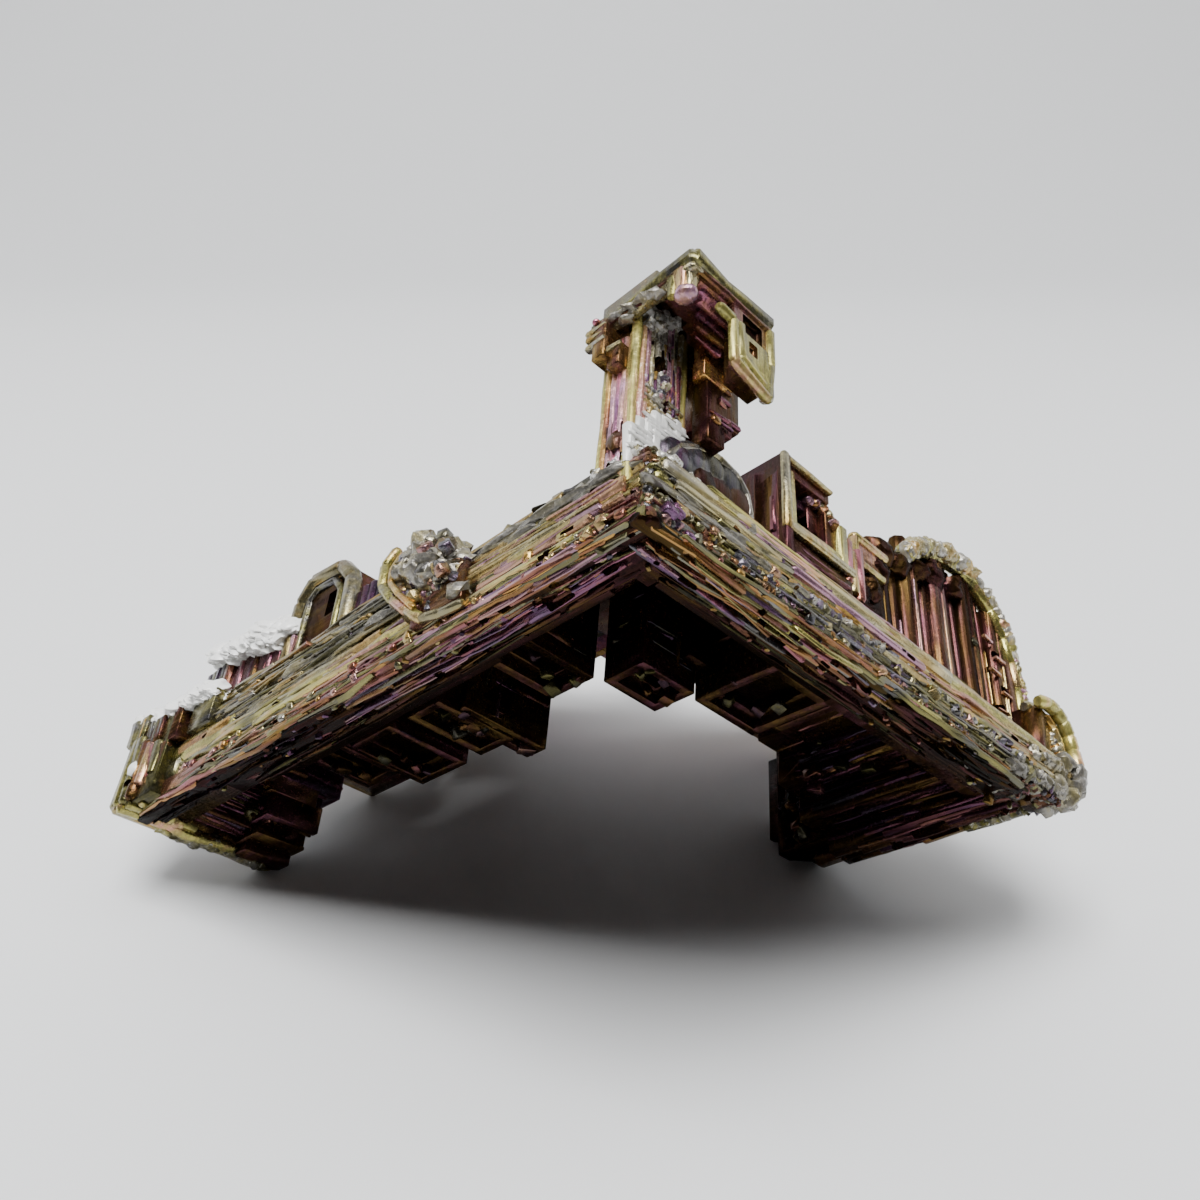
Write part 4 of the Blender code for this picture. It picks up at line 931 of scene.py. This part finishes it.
def grow_left_top():
    top = Region("left_top", 24, "left")
    draw = top.random.uniform
    # The block with a crusted top, its crust painted white as a highlight: a striped end and a plain side.
    top.block((1, 3.5), (24.7, 31.7), (2.6, 7.6), 0.35)
    for left, film in ((29.6, COPPER), (30.1, OLIVE), (30.6, STEEL), (31.1, OLIVE), (31.6, STEEL)):
        top.rod(POST, (4.4, 7.8), (1.05, left), (0.26, 0.32), film, 0.5, wander=0.02)
    top.ridges(POST, RIGHT, (4.2, 7.4), (24.8, 29.4), 1, 10, (1, 3), (0.3, 0.8), (0, 0.08), (COPPER, ROSE),
               (0.2, 0.5), wander=0.04)
    for right in (1.4, 1.9, 2.4, 2.9, 3.3):
        top.rod(POST, (4.4, 7.7), (right, 31.75), (0.33, 0.22), OLIVE, 0.6, wander=0.02)
    top.painted_highlight_crust((1, 31.6, 8.6), (1, 28.5, 8), 40, 0.75)
    top.painted_highlight_crust((1, 28.5, 8), (1, 25, 7.3), 40, 0.85)
    top.painted_highlight_crust((1, 25.6, 7.6), (1.1, 23.6, 7.4), 20, 0.6)
    top.painted_highlight_crust((1.3, 31.2, 8.7), (1.6, 25, 8.3), 30, 0.7)
    # The square hopper behind the arm, with rounded rims.
    top.hopper((1.3, 3.3), (20.4, 23.5), (2, 9.3), RIGHT, -1, 0.3, 0.35, (COPPER, COPPER, VIOLET, VIOLET),
               (0.6, 0.3, 0.25, 0.2))
    top.bent_beam(
        [(1.3, 24.3, 5), (1.3, 24.2, 8.8), (1.3, 23.4, 9.8), (1.3, 21, 9.5), (1.3, 19.8, 8.3),
         (1.3, 19.5, 5)],
        0.4, STRAW, 0.5)
    top.bent_beam(
        [(1.25, 23.5, 5), (1.25, 23.4, 8.6), (1.25, 22.8, 9.1), (1.25, 21.4, 8.9), (1.25, 20.6, 8),
         (1.25, 20.5, 5.6)],
        0.2, OLIVE, 0.7)
    top.block((1.6, 3.2), (20, 23.8), (2, 9), 0.3)
    for left, film in ((22.9, OLIVE), (22.5, SILVER), (22.1, STEEL), (21.7, LIME)):
        top.rod(POST, (4.6, 8.6), (1.5, left), (0.2, 0.16), film, 0.45, wander=0.02)
    top.block((1.2, 1.7), (20.8, 23.2), (5, 8.7), 0.2)
    top.pit((1, 2.4), (20.9, 21.6), (6.9, 8.2), 0.05)
    top.rod(POST, (5.4, 6.6), (1, 23.6), (0.12, 0.16), MAUVE, 1.3)
    top.blocks([
        (1.5, 3.4, 17.8, 19.6, 2, 7.4, 0.3, VIOLET), (1.6, 3.2, 16.6, 18, 2, 5.8, 0.3),
        (1.8, 3.6, 23.6, 27.1, 2, 8.3, 0.5),
    ])
    for left in (18.2, 18.8, 19.3):
        top.rod(POST, (3, 7.4), (1.5, left), (0.16, 0.28), VIOLET, 0.35)
    # The rough plates beside the post.
    top.block((0.9, 2.4), (2.6, 6.9), (2.6, 4.6), 0.4, STEEL)
    top.block((1.2, 2.6), (5.4, 8.4), (2.6, 4.4), 0.4)
    top.ridges(LEFT, RIGHT, (2.4, 8.4), (2.8, 4.7), 0.95, 40, (0.4, 2.5), (0.08, 0.3), (0, 0.25),
               (SILVER, STEEL, STRAW, OLIVE), wander=0.06)
    top.crumbs(
        LEFT, RIGHT, (2.4, 8.4), (2.8, 4.6), 0.9, 30, (0.15, 0.45), (SILVER, STEEL, STRAW), (0.5, 1.2), 0.5)
    # The lump and the small embedded cube on the side of the arm.
    for right, left, post, size in (
        (0.1, 12.7, 4.8, 0.8), (0.2, 13.2, 4.2, 0.6), (-0.1, 11.9, 4.9, 0.6), (-0.1, 11.5, 4.2, 0.7),
        (-0.2, 12.3, 3.6, 0.6), (-0.2, 11, 3.4, 0.8), (0.1, 10.4, 4.1, 0.6), (-0.1, 10.4, 2.7, 0.7),
        (0, 9.7, 3, 0.6), (0.1, 12.4, 5.6, 0.5), (0, 9.3, 2.2, 0.5), (0, 8.9, 1.5, 0.5),
    ):
        top.lump((right, left, post), (size, size, size), SILVER, 0.8, 0.3, 0.8, 1.3)
    for _ in range(34):
        place = [draw(-0.8, -0.2), draw(9.4, 12.9), draw(2, 4.9)]
        size = draw(0.12, 0.28)
        film = top.random.choice((SILVER, STEEL, STRAW, PEACH))
        top.block(*[(middle - size, middle + size) for middle in place], draw(0.4, 1), film, lean=0.9)
    top.bent_beam(
        [(-0.3, 13.6, 5.6), (-0.5, 13.9, 4.8), (-0.6, 13.6, 3.6), (-0.6, 12.6, 2.5), (-0.5, 11.6, 1.6),
         (-0.45, 10.7, 0.9)],
        0.24, LIME, 1)
    top.bent_beam(
        [(-0.3, 13.2, 5.2), (-0.6, 13.2, 4.2), (-0.75, 12.8, 3.3), (-0.75, 12, 2.4), (-0.65, 11, 1.4)], 0.14,
        GOLD, 1.2)
    top.bent_beam([(-0.45, 10.7, 0.9), (-0.35, 9.6, 0.7), (-0.25, 8.6, 0.7)], 0.2, STRAW, 0.6)
    top.block((-0.35, 0.4), (8.6, 11.6), (0.9, 2.6), 0.35)
    top.crumbs(LEFT, RIGHT, (8.6, 12), (0.9, 3.4), -0.3, 40, (0.12, 0.4), (SILVER, STRAW, STEEL, PEACH),
               (0.3, 1), 0.6)
    return top


def grow_right_top():
    top = Region("right_top", 25, "post")
    # The low shell-shaped hopper beside the post, with rounded rims; its dark inside is painted shade.
    top.hopper((2, 5.5), (1.1, 2.8), (2.6, 4.9), LEFT, -1, 0.25, 0.35, (COPPER, COPPER, ROSE, VIOLET),
               (0.3, 0.2, 0.15, 0.1))
    arch = [(1.5, 4), (2, 4.7), (2.9, 5.3), (4, 5.6), (5, 5.4), (5.5, 4.9), (5.7, 4)]
    for (start, low), (far, high) in zip(arch, arch[1:]):
        top.block((start, far + 0.05), (0.8, 2), (2.6, min(low, high)), 0.2)
    for right, height, film, shade in (
        (2.2, 4.3, STEEL, 0.4), (2.9, 4.7, STEEL, 0.5), (3.7, 5, STEEL, 0.35), (4.6, 4.9, STEEL, 0.3),
        (5.1, 4.3, COPPER, 0.2), (3.4, 4.1, COPPER, 0.12), (4.2, 4.1, COPPER, 0.15),
    ):
        top.lump((right, 0.85, height), (0.9, 0.35, 0.8), film, shade, 0.2, 0.15, 1)
    top.bent_beam(
        [(right, 0.65, height) for right, height in arch] + [(5.6, 0.65, 3)], 0.14, SILVER, 0.75, 0.2)
    top.bent_beam([(5, 0.8, 5), (5.3, 0.8, 4.6), (5.45, 0.8, 3.8), (5.4, 0.8, 2.9)], 0.13, STRAW, 0.9)
    top.rod(POST, (3.4, 3.9), (2.9, 0.8), (0.14, 0.2), GOLD, 1.4)
    # The tall open box: dark walls and two bright rims, one inside the other.
    top.blocks([
        (7.6, 8, 0.5, 3, 2.4, 8.5, 0.3), (7.9, 11.7, 2.2, 3, 4.6, 8.5, 0.2, ROSE),
        (7.7, 10.8, 0.8, 3, 8, 8.5, 0.3), (8, 10.9, 1.4, 3, 7.5, 8.1, 0.25, ROSE),
        (10.6, 11.5, 0.9, 3, 4.6, 7.6, 0.3), (10, 11.2, 1.3, 3, 6.6, 8.2, 0.4),
        (7.9, 11.7, 0.6, 3, 2.4, 4.6, 0.2),
    ])
    top.ridges(POST, RIGHT, (3, 8.4), (0.8, 2.9), 7.62, 12, (1.5, 5), (0.1, 0.4), (0, 0.08), (COPPER, ROSE),
               (0.2, 0.45))
    top.ridges(RIGHT, LEFT, (8, 11.6), (2.6, 4.5), 0.62, 16, (0.8, 3.5), (0.1, 0.4), (0, 0.1),
               (COPPER, ROSE, VIOLET), (0.15, 0.5))
    top.rods(POST, [
        (4.8, 8.6, 7.75, 0.6, 0.2, 0.16, STRAW, 1.1), (5, 8, 8.2, 0.85, 0.3, 0.2, LIME, 1.1),
        (5.2, 7.6, 8.65, 1.2, 0.2, 0.2, LIME, 0.8),
    ], wander=0.01)
    top.rods(RIGHT, [
        (7.6, 11.8, 0.6, 5, 0.16, 0.2, STRAW, 1.1), (8, 11.7, 0.85, 5.4, 0.2, 0.25, LIME, 1.1),
        (8.5, 11.5, 1.2, 5.8, 0.25, 0.2, LIME, 0.7), (7.7, 10.7, 0.65, 8.45, 0.14, 0.1, STRAW, 0.9),
    ], wander=0.01)
    top.rod(RIGHT, (8, 10.9), (1.6, 8.1), (0.5, 0.12), ROSE, 0.4, wander=0.02)
    top.rod(RIGHT, (8.4, 11), (1.9, 7.7), (0.4, 0.14), MAUVE, 0.35, wander=0.02)
    top.pit((9.2, 10.4), (1.3, 2.6), (6, 7.2), 0.08, lean=0.2, film=OLIVE)
    top.trail([(9.8, 1.3, 8), (10.6, 1.1, 7.9), (11.1, 0.9, 7.2)], 0.28, 14, (MAUVE, COPPER, STRAW),
              (0.5, 1.1), 0.1, 0.4)
    # Pale steps that lead down from the box.
    for right, low, high, film in (
        (11.3, 5, 7.2, LIME), (11.7, 4.6, 6.8, ROSE), (12.1, 4.4, 6.5, STRAW), (12.5, 4.2, 6.8, COPPER),
    ):
        top.rod(POST, (low, high), (right, 0.95), (0.26, 0.35), film, 1.1, wander=0.02)
    top.block((11.4, 13.2), (1.2, 2.8), (2.4, 6.7), 0.25)
    # The pale plate with a bright rim.
    top.block((13, 15.2), (1.5, 3.1), (2.6, 8), 0.12)
    for right, height, size in ((13.4, 5.6, 0.6), (14.3, 6.2, 0.6), (14.9, 7.6, 0.7), (14, 4.6, 0.6)):
        top.lump((right, 1.5, height), (size, 0.4, size), COPPER, 0.14, 0, 0.4)
    top.rod(RIGHT, (12.9, 15.3), (1.3, 8.1), (0.25, 0.18), LIME, 1.1, wander=0.01)
    top.rod(POST, (6.6, 8.1), (13.05, 1.3), (0.16, 0.2), LIME, 1.1, wander=0.01)
    top.block((13.1, 15.2), (1.25, 1.7), (7.1, 8), 0.8, PEACH)
    top.rod(RIGHT, (13.3, 15.1), (1.3, 6.9), (0.2, 0.16), LIME, wander=0.02)
    return top


# The fan of upright columns on the right arm: where it starts, how far apart its columns are, and
# how they fall off to both sides of the highest one.
FAN_START = 14.8
FAN_PITCH = 1.2
FAN_HEIGHT = 11.9
FAN_CREST = 5
FAN_DROOP = 0.09

# Look of each column of the fan: how light it is, and the film of the thin bright rods down its edge, which
# are painted highlights.
FAN_LOOKS = [
    (0.12, VIOLET), (0.14, MAUVE), (0.2, MAUVE), (0.3, ROSE), (0.34, PEACH),
    (0.2, ROSE), (0.16, COPPER), (0.28, GOLD), (0.28, STRAW),
]

# Outline of the fan's crest along right and post.
FAN_RIM = [
    (17.2, 9.8), (18.2, 10.8), (19.4, 11.5), (20.8, 12.0), (22.3, 12.2), (23.6, 11.9),
    (24.8, 11.1), (25.7, 9.9), (26.1, 8.7), (26.3, 7.4), (26.3, 6.0), (26.2, 4.4),
]


def grow_fan():
    fan = Region("fan", 26, "post")
    draw = fan.random.uniform
    for column, (shade, painted_highlight_film) in enumerate(FAN_LOOKS):
        start = FAN_START + FAN_PITCH * column
        height = FAN_HEIGHT - FAN_DROOP * (column - FAN_CREST) ** 2
        front = 1.5 + 0.35 * (column % 2)
        fan.block((start, start + FAN_PITCH + 0.1), (front + 0.5, 4.4), (2.2, height - 0.2), 0.15)
        fan.rods(POST, [
            (2.2, height - 0.1, start + 0.3, front + 0.45, 0.42, 0.42, COPPER, shade),
            (2.2, height - 0.2, start + 0.82, front + 0.4, 0.26, 0.36, COPPER, 1.2 * shade),
            (2.2, height - 0.6, start + 1.12, front + 0.5, 0.16, 0.3, COPPER, 0.7 * shade),
        ], wander=0.015, step=2.5)
        # Thin bright rods down the column's edge: painted highlights.
        for _ in range(column % 3):
            low = draw(2.6, 5)
            fan.rod(POST, (low, low + draw(2.5, 5)), (start + draw(0.1, 1), front + draw(0.02, 0.1)),
                    (0.05, 0.08), painted_highlight_film, 1.1, wander=0.01, step=2.5)
    # Dark rounded heads of the columns, and their windows.
    for right, height, size in (
        (15.6, 8.9, 0.8), (16.9, 9.1, 0.7), (18.4, 9.7, 0.7), (19.8, 10.2, 0.8), (21.4, 10.4, 0.7),
    ):
        fan.lump((right, 1.8, height), (size, 0.6, size * 0.8), COPPER, 0.15, 0, 0.3)
    for right, height in ((23.9, 9.3), (24.7, 8.5), (24.1, 7.6), (24.9, 6.7), (24.3, 5.6)):
        fan.pit((right - 0.35, right + 0.35), (1.3, 1.9), (height - 0.35, height), 0.1)
        fan.rod(RIGHT, (right - 0.4, right + 0.4), (1.5, height - 0.45), (0.12, 0.08), PEACH, 1.3)
    fan.block((25.3, 26.4), (1.5, 4), (2.2, 8.5), 0.4)
    # Its crest: silvery lumps on the left, lime and pink down the right.
    crest = [(right, 1.45, height) for right, height in FAN_RIM]
    fan.bent_beam([(right, 1.7, height - 0.1) for right, height in FAN_RIM], 0.42, OLIVE, 1.1)
    fan.bent_beam([(right - 0.2, 1.6, height - 0.2) for right, height in FAN_RIM[5:]], 0.3, LIME, 1)
    fan.trail(crest[:6], 0.5, 34, (SILVER, STRAW, LIME, STRAW), (0.8, 1.3), 0.4, 0.3)
    fan.trail(crest[5:9], 0.38, 24, (LIME, PEACH, STRAW, SILVER), (0.9, 1.4), 0.3, 0.25)
    fan.trail(crest[8:], 0.28, 22, (LIME, STRAW, LIME, MAUVE), (0.9, 1.3), 0.25, 0.2)
    # The golden hopper at the arm's end: a dark hollow inside a curved rim.
    fan.block((25.2, 27.3), (0.9, 2.4), (2.4, 5.6), 0.3)
    fan.beam((25, 0.8, 2.6), (25.6, 0.7, 5.4), 0.5, COPPER, 0.4)
    fan.beam((25.9, 0.8, 2.6), (26.3, 0.7, 5.2), 0.3, GOLD, 0.6)
    fan.trail([(26.4, 0.6, 4.8), (26.6, 0.5, 3.6)], 0.3, 14, (GOLD, COPPER, STRAW), (0.5, 1.1), 0.1, 0.3)
    rim = [
        (25, 0.35, 5.5), (25.7, 0.3, 5.7), (26.4, 0.3, 5.65), (26.95, 0.3, 5.3), (27.3, 0.3, 4.7),
        (27.45, 0.3, 4), (27.4, 0.2, 3.1),
    ]
    fan.bent_beam([(right, left - 0.2, height) for right, left, height in rim], 0.32, LIME, 1.3, 0.25)
    fan.bent_beam(
        [(right - 0.5, left + 0.1, height - 0.45) for right, left, height in rim[2:]], 0.24, GOLD, 1.2)
    fan.bent_beam([(right + 0.05, left + 0.5, height) for right, left, height in rim], 0.3, STRAW, 0.8)
    # Grey lumps that close the arm's end.
    for right, left, height, size in (
        (27, 0.4, 2.6, 0.7), (26.7, 0.3, 1.9, 0.7), (27, 0.9, 1.7, 0.6), (26.2, 0.3, 1.3, 0.6),
        (26.4, 0.1, 3, 0.5), (26.8, 1.5, 1.5, 0.5), (25.6, 0.2, 2.2, 0.5), (25.2, 0.2, 1.4, 0.5),
        (25.9, 0.1, 2.6, 0.4),
    ):
        fan.lump((right, left, height), (size, size, size), SILVER, 0.6, 0.3, 0.5, 1.3)
    return fan


# Terraces of the right end wall: spans along right, left and post, from the rim up.
RIGHT_TERRACES = [
    ((25.5, 27.2), (0.9, 12.1), (1.7, 3.2)),
    ((24.3, 27.0), (1.9, 12.9), (3.1, 4.6)),
    ((22.7, 26.9), (2.4, 12.9), (4.5, 6.2)),
    ((20.9, 26.5), (2.6, 12.7), (6.1, 7.8)),
    ((18.7, 26.1), (2.8, 12.3), (7.7, 9.6)),
    ((17.1, 22.0), (2.8, 11.5), (9.1, 11.0)),
]


def grow_right_wall():
    wall = Region("right_wall", 27, "left")
    for right, left, post in RIGHT_TERRACES:
        wall.block(right, left, post, 0.16)
        wall.ridges(LEFT, POST, left, right, post[0], 26, (1.5, 8), (0.08, 0.35), (0, 0.2),
                    (COPPER, ROSE, COPPER, VIOLET), (0.08, 0.4))
        wall.ridges(LEFT, RIGHT, left, post, right[0], 16, (1.5, 8), (0.08, 0.3), (0, 0.2),
                    (COPPER, ROSE, VIOLET), (0.08, 0.4))
        wall.holes(LEFT, POST, left, right, post[0], 6, (0.2, 0.5), (0.2, 0.6))
    wall.crumbs(
        LEFT, RIGHT, (0.8, 12), (3.2, 9), 22.6, 30, (0.2, 0.6), (COPPER, ROSE, OLIVE), (0.1, 0.4), 0.3)
    # The rim: grey and rough, then golden, then brown down to the foot.
    wall.rod(LEFT, (0.6, 5.6), (27, 1.85), (0.26, 0.26), OLIVE, 0.4, wander=0.05)
    wall.trail([(26.9, 0.9, 1.6), (26.9, 5.2, 1.8)], 0.3, 34, (SILVER, OLIVE, STEEL), (0.3, 0.7), 0.4, 0.5)
    wall.rod(LEFT, (5.4, 7.8), (26.95, 1.9), (0.3, 0.3), GOLD, 0.7, wander=0.03)
    wall.block((26.3, 27.3), (7.9, 9.5), (1.9, 3.2), 0.5, GOLD, lean=0.1)
    wall.crumbs(
        LEFT, POST, (7.9, 9.4), (26.3, 27.2), 1.9, 14, (0.2, 0.5), (GOLD, LIME, COPPER), (0.4, 1), 0.4)
    wall.rod(LEFT, (9.2, 13.6), (26.8, 2.3), (0.45, 0.4), COPPER, 0.35, wander=0.05)
    wall.rod(LEFT, (9.6, 14.2), (27.2, 2.7), (0.35, 0.4), OLIVE, 0.35, wander=0.05)
    wall.trail([(25.9, 2.2, 3), (25.6, 4.6, 3.2)], 0.35, 14, (GOLD, COPPER, LIME), (0.3, 0.8), 0, 0.5)
    # The foot.
    wall.block((25.8, 27.7), (11.9, 15.4), (2.6, 10.1), 0.12)
    wall.block((26.5, 28.1), (12.9, 16.5), (4, 8.7), 0.12)
    wall.ridges(POST, RIGHT, (2.8, 9.8), (12, 15.3), 25.8, 26, (0.6, 3), (0.15, 0.5), (0, 0.2),
                (COPPER, STEEL, OLIVE), (0.06, 0.3), wander=0.06)
    wall.crumbs(
        POST, RIGHT, (2.8, 9.8), (12, 15.2), 25.8, 26, (0.2, 0.6), (COPPER, STEEL, OLIVE), (0.06, 0.35), 0.5)
    return wall


HANGING_CUBES = [
    ((3.0, 8.5), (11.2, 13.8), (3.0, 7.4)),
    ((6.5, 11.3), (17.2, 18.5), (3.0, 8.0)),
    ((5.4, 9.7), (17.6, 19.9), (2.9, 7.5)),
    ((5.4, 9.9), (21.2, 24.6), (3.0, 7.6)),
    ((3.4, 8.3), (24.3, 26.9), (2.9, 6.6)),
    ((8.8, 11.9), (8.7, 11.0), (2.9, 8.0)),
    ((12.4, 16.2), (5.0, 9.2), (3.0, 7.8)),
    ((14.6, 18.6), (3.4, 9.8), (4.4, 9.4)),
]


def grow_hanging_cubes():
    cubes = Region("hanging_cubes", 28, "none")
    # The cubes are near black, darker into their pits, and so is the block between two of them: painted
    # shade, as they hang under the arch.
    for right, left, post in HANGING_CUBES:
        cubes.hopper(right, left, post, POST, -1, 0.4, 0.45, (COPPER, COPPER, COPPER), (0.14, 0.1, 0.06))
        for across, face, along in ((left, RIGHT, LEFT), (right, LEFT, RIGHT)):
            level = (right, left)[face == LEFT][0]
            cubes.ridges(along, face, across, post, level + 0.04, 12, (0.5, 2.5), (0.1, 0.4), (0, 0.1),
                         (COPPER, VIOLET, STEEL), (0.05, 0.25), wander=0.05)
            cubes.ridges(POST, face, post, across, level + 0.04, 8, (0.5, 3), (0.1, 0.4), (0, 0.1),
                         (COPPER, MAUVE, OLIVE), (0.05, 0.3), wander=0.05)
        cubes.crumbs(RIGHT, POST, right, left, post[0] + 0.1, 5, (0.25, 0.6), (COPPER, MAUVE, OLIVE),
                     (0.06, 0.25), 0.5)
    cubes.block((11, 13), (8.2, 9.6), (4.2, 9), 0.05)
    return cubes


# Stepped webs that join the two arms inside the cube.
WEB_STEPS = 9
WEB_STEP = 1.5


def grow_webs():
    webs = Region("webs", 29, "none")
    for step in range(WEB_STEPS):
        back = 1.6 + WEB_STEP * step
        near = (back, back + WEB_STEP + 0.4)
        rise = (back + 0.2, back + WEB_STEP + 0.6)
        webs.block(near, (back + 0.4, 31 - 0.35 * step), rise, 0.3)
        webs.block((back + 0.9, 24.5 + 0.3 * step), near, rise, 0.3)
        spans = {LEFT: (back + 1, 30.4 - 0.35 * step), RIGHT: (back + 1.4, 24 + 0.3 * step)}
        for along, face in ((LEFT, RIGHT), (RIGHT, LEFT)):
            webs.ridges(along, face, spans[along], rise, back, 12, (2, 12), (0.1, 0.4), (0, 0.12),
                        (COPPER, GOLD, ROSE, VIOLET), (0.2, 0.55), wander=0.05)
            webs.crumbs(along, face, spans[along], rise, back - 0.05, 8, (0.15, 0.45), (COPPER, GOLD, OLIVE),
                        (0.2, 0.6), 0.4)
    return webs


def grow_root():
    root = Region("root", 30, "none")
    root.block((13, 20.5), (13, 21), (14.5, 17.5), 0.5)
    films = (GOLD, COPPER, ROSE, VIOLET, STEEL)
    shades = (0.9, 0.8, 0.8, 0.7, 0.6)
    root.hopper((13, 20), (20, 29.4), (15.3, 21.6), POST, 1, 0.5, 0.5, films, shades)
    root.hopper((16, 22), (18.1, 24), (15.6, 21.2), POST, 1, 0.4, 0.5, films, shades)
    root.hopper((20, 28.4), (12.6, 19), (13.9, 19.6), POST, 1, 0.5, 0.5, films, shades)
    root.hopper((15, 20.4), (29, 33.9), (14.2, 19), LEFT, 1, 0.4, 0.4, films, shades)
    root.block((11, 17), (28.2, 31.8), (12.6, 17.4), 0.6)
    root.hopper((26, 31.8), (14.4, 19), (12.1, 17), RIGHT, 1, 0.4, 0.4, films, shades)
    root.blocks([
        (24.6, 28.4, 12.6, 16.4, 9.6, 14.4, 0.6), (18.4, 22.6, 19.6, 24.6, 20.2, 22.4, 0.8, GOLD),
        (21.4, 25.6, 13.4, 17, 18, 20, 0.8, GOLD),
    ])
    return root


def make_piece(region):
    piece = region.fused()
    piece.data.materials.clear()
    piece.data.materials.append(MATERIALS[region.grain])
    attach(piece, "root")
    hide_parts(NODE)


for grow in (
    grow_left_arm, grow_right_arm, grow_post, grow_cap, grow_left_end, grow_left_top,
    grow_right_top, grow_fan, grow_right_wall, grow_hanging_cubes, grow_webs, grow_root,
):
    make_piece(grow())


# The floor, in metres: its depth and width, and the sweep up into the backdrop.
FLOOR_DEPTH, FLOOR_WIDTH, SWEEP_RADIUS, BACKDROP_HEIGHT = 0.30, 2.4, 0.22, 0.75


def make_floor():
    """A pale table that sweeps up into a backdrop."""
    outline = [(-0.6, 0.0)]
    outline += [
        (FLOOR_DEPTH + SWEEP_RADIUS * math.sin(angle), SWEEP_RADIUS * (1 - math.cos(angle)))
        for angle in (math.radians(degrees) for degrees in range(0, 91, 5))
    ]
    outline.append((FLOOR_DEPTH + SWEEP_RADIUS, BACKDROP_HEIGHT))
    shape = bmesh.new()
    row = [shape.verts.new((-FLOOR_WIDTH / 2, y, z)) for y, z in outline]
    edges = [shape.edges.new(pair) for pair in zip(row, row[1:])]
    made = bmesh.ops.extrude_edge_only(shape, edges=edges)
    moved = [item for item in made["geom"] if isinstance(item, bmesh.types.BMVert)]
    bmesh.ops.translate(shape, verts=moved, vec=(FLOOR_WIDTH, 0, 0))
    bmesh.ops.recalc_face_normals(shape, faces=shape.faces)
    mesh = bpy.data.meshes.new("floor")
    shape.to_mesh(mesh)
    shape.free()
    mesh.shade_smooth()
    floor = bpy.data.objects.new("floor", mesh)
    bpy.context.scene.collection.objects.link(floor)
    material = bpy.data.materials.new("pale_floor")
    material.use_nodes = True
    shader = material.node_tree.nodes["Principled BSDF"]
    shader.inputs["Base Color"].default_value = (0.80, 0.81, 0.82, 1.0)
    shader.inputs["Roughness"].default_value = 0.75
    mesh.materials.append(material)


def add_softbox(name, place, target, size, power):
    light = bpy.data.lights.new(name, "AREA")
    light.shape = "RECTANGLE"
    light.size, light.size_y = size
    light.energy = power
    lamp = bpy.data.objects.new(name, light)
    lamp.location = place
    lamp.rotation_euler = (Vector(target) - Vector(place)).to_track_quat("-Z", "Y").to_euler()
    bpy.context.scene.collection.objects.link(lamp)


def light_scene():
    middle = (0, 0, 0.01)
    add_softbox("overhead", (-0.03, -0.10, 0.42), middle, (0.24, 0.2), 3.0)
    add_softbox("backdrop_light", (0, 0.1, 0.7), (0, 0.5, 0.15), (1.2, 0.2), 4.5)
    add_softbox("left_panel", (-0.42, 0.22, 0.2), middle, (0.35, 0.3), 0.45)
    add_softbox("right_panel", (0.42, 0.2, 0.18), middle, (0.35, 0.3), 0.35)
    world = bpy.data.worlds.new("studio")
    world.use_nodes = True
    background = world.node_tree.nodes["Background"]
    background.inputs["Color"].default_value = (0.95, 0.97, 1.0, 1.0)
    background.inputs["Strength"].default_value = 0.06
    bpy.context.scene.world = world


# Where the camera stands from the cube's corner, how far it looks down, and its lens.
CAMERA_FROM_CORNER = Vector((-1.376, -33.646, 9.962))
CAMERA_PITCH = math.radians(20.6)
SENSOR_WIDTH, FOCAL_LENGTH = 36.0, 35.1


def place_camera():
    data = bpy.data.cameras.new("camera")
    data.sensor_width = SENSOR_WIDTH
    data.lens = FOCAL_LENGTH
    data.clip_start = 0.001
    camera = bpy.data.objects.new("camera", data)
    camera.location = (CORNER + CAMERA_FROM_CORNER) * MM
    camera.rotation_euler = (math.pi / 2 - CAMERA_PITCH, 0, 0)
    bpy.context.scene.collection.objects.link(camera)
    bpy.context.scene.camera = camera


make_floor()
light_scene()
place_camera()
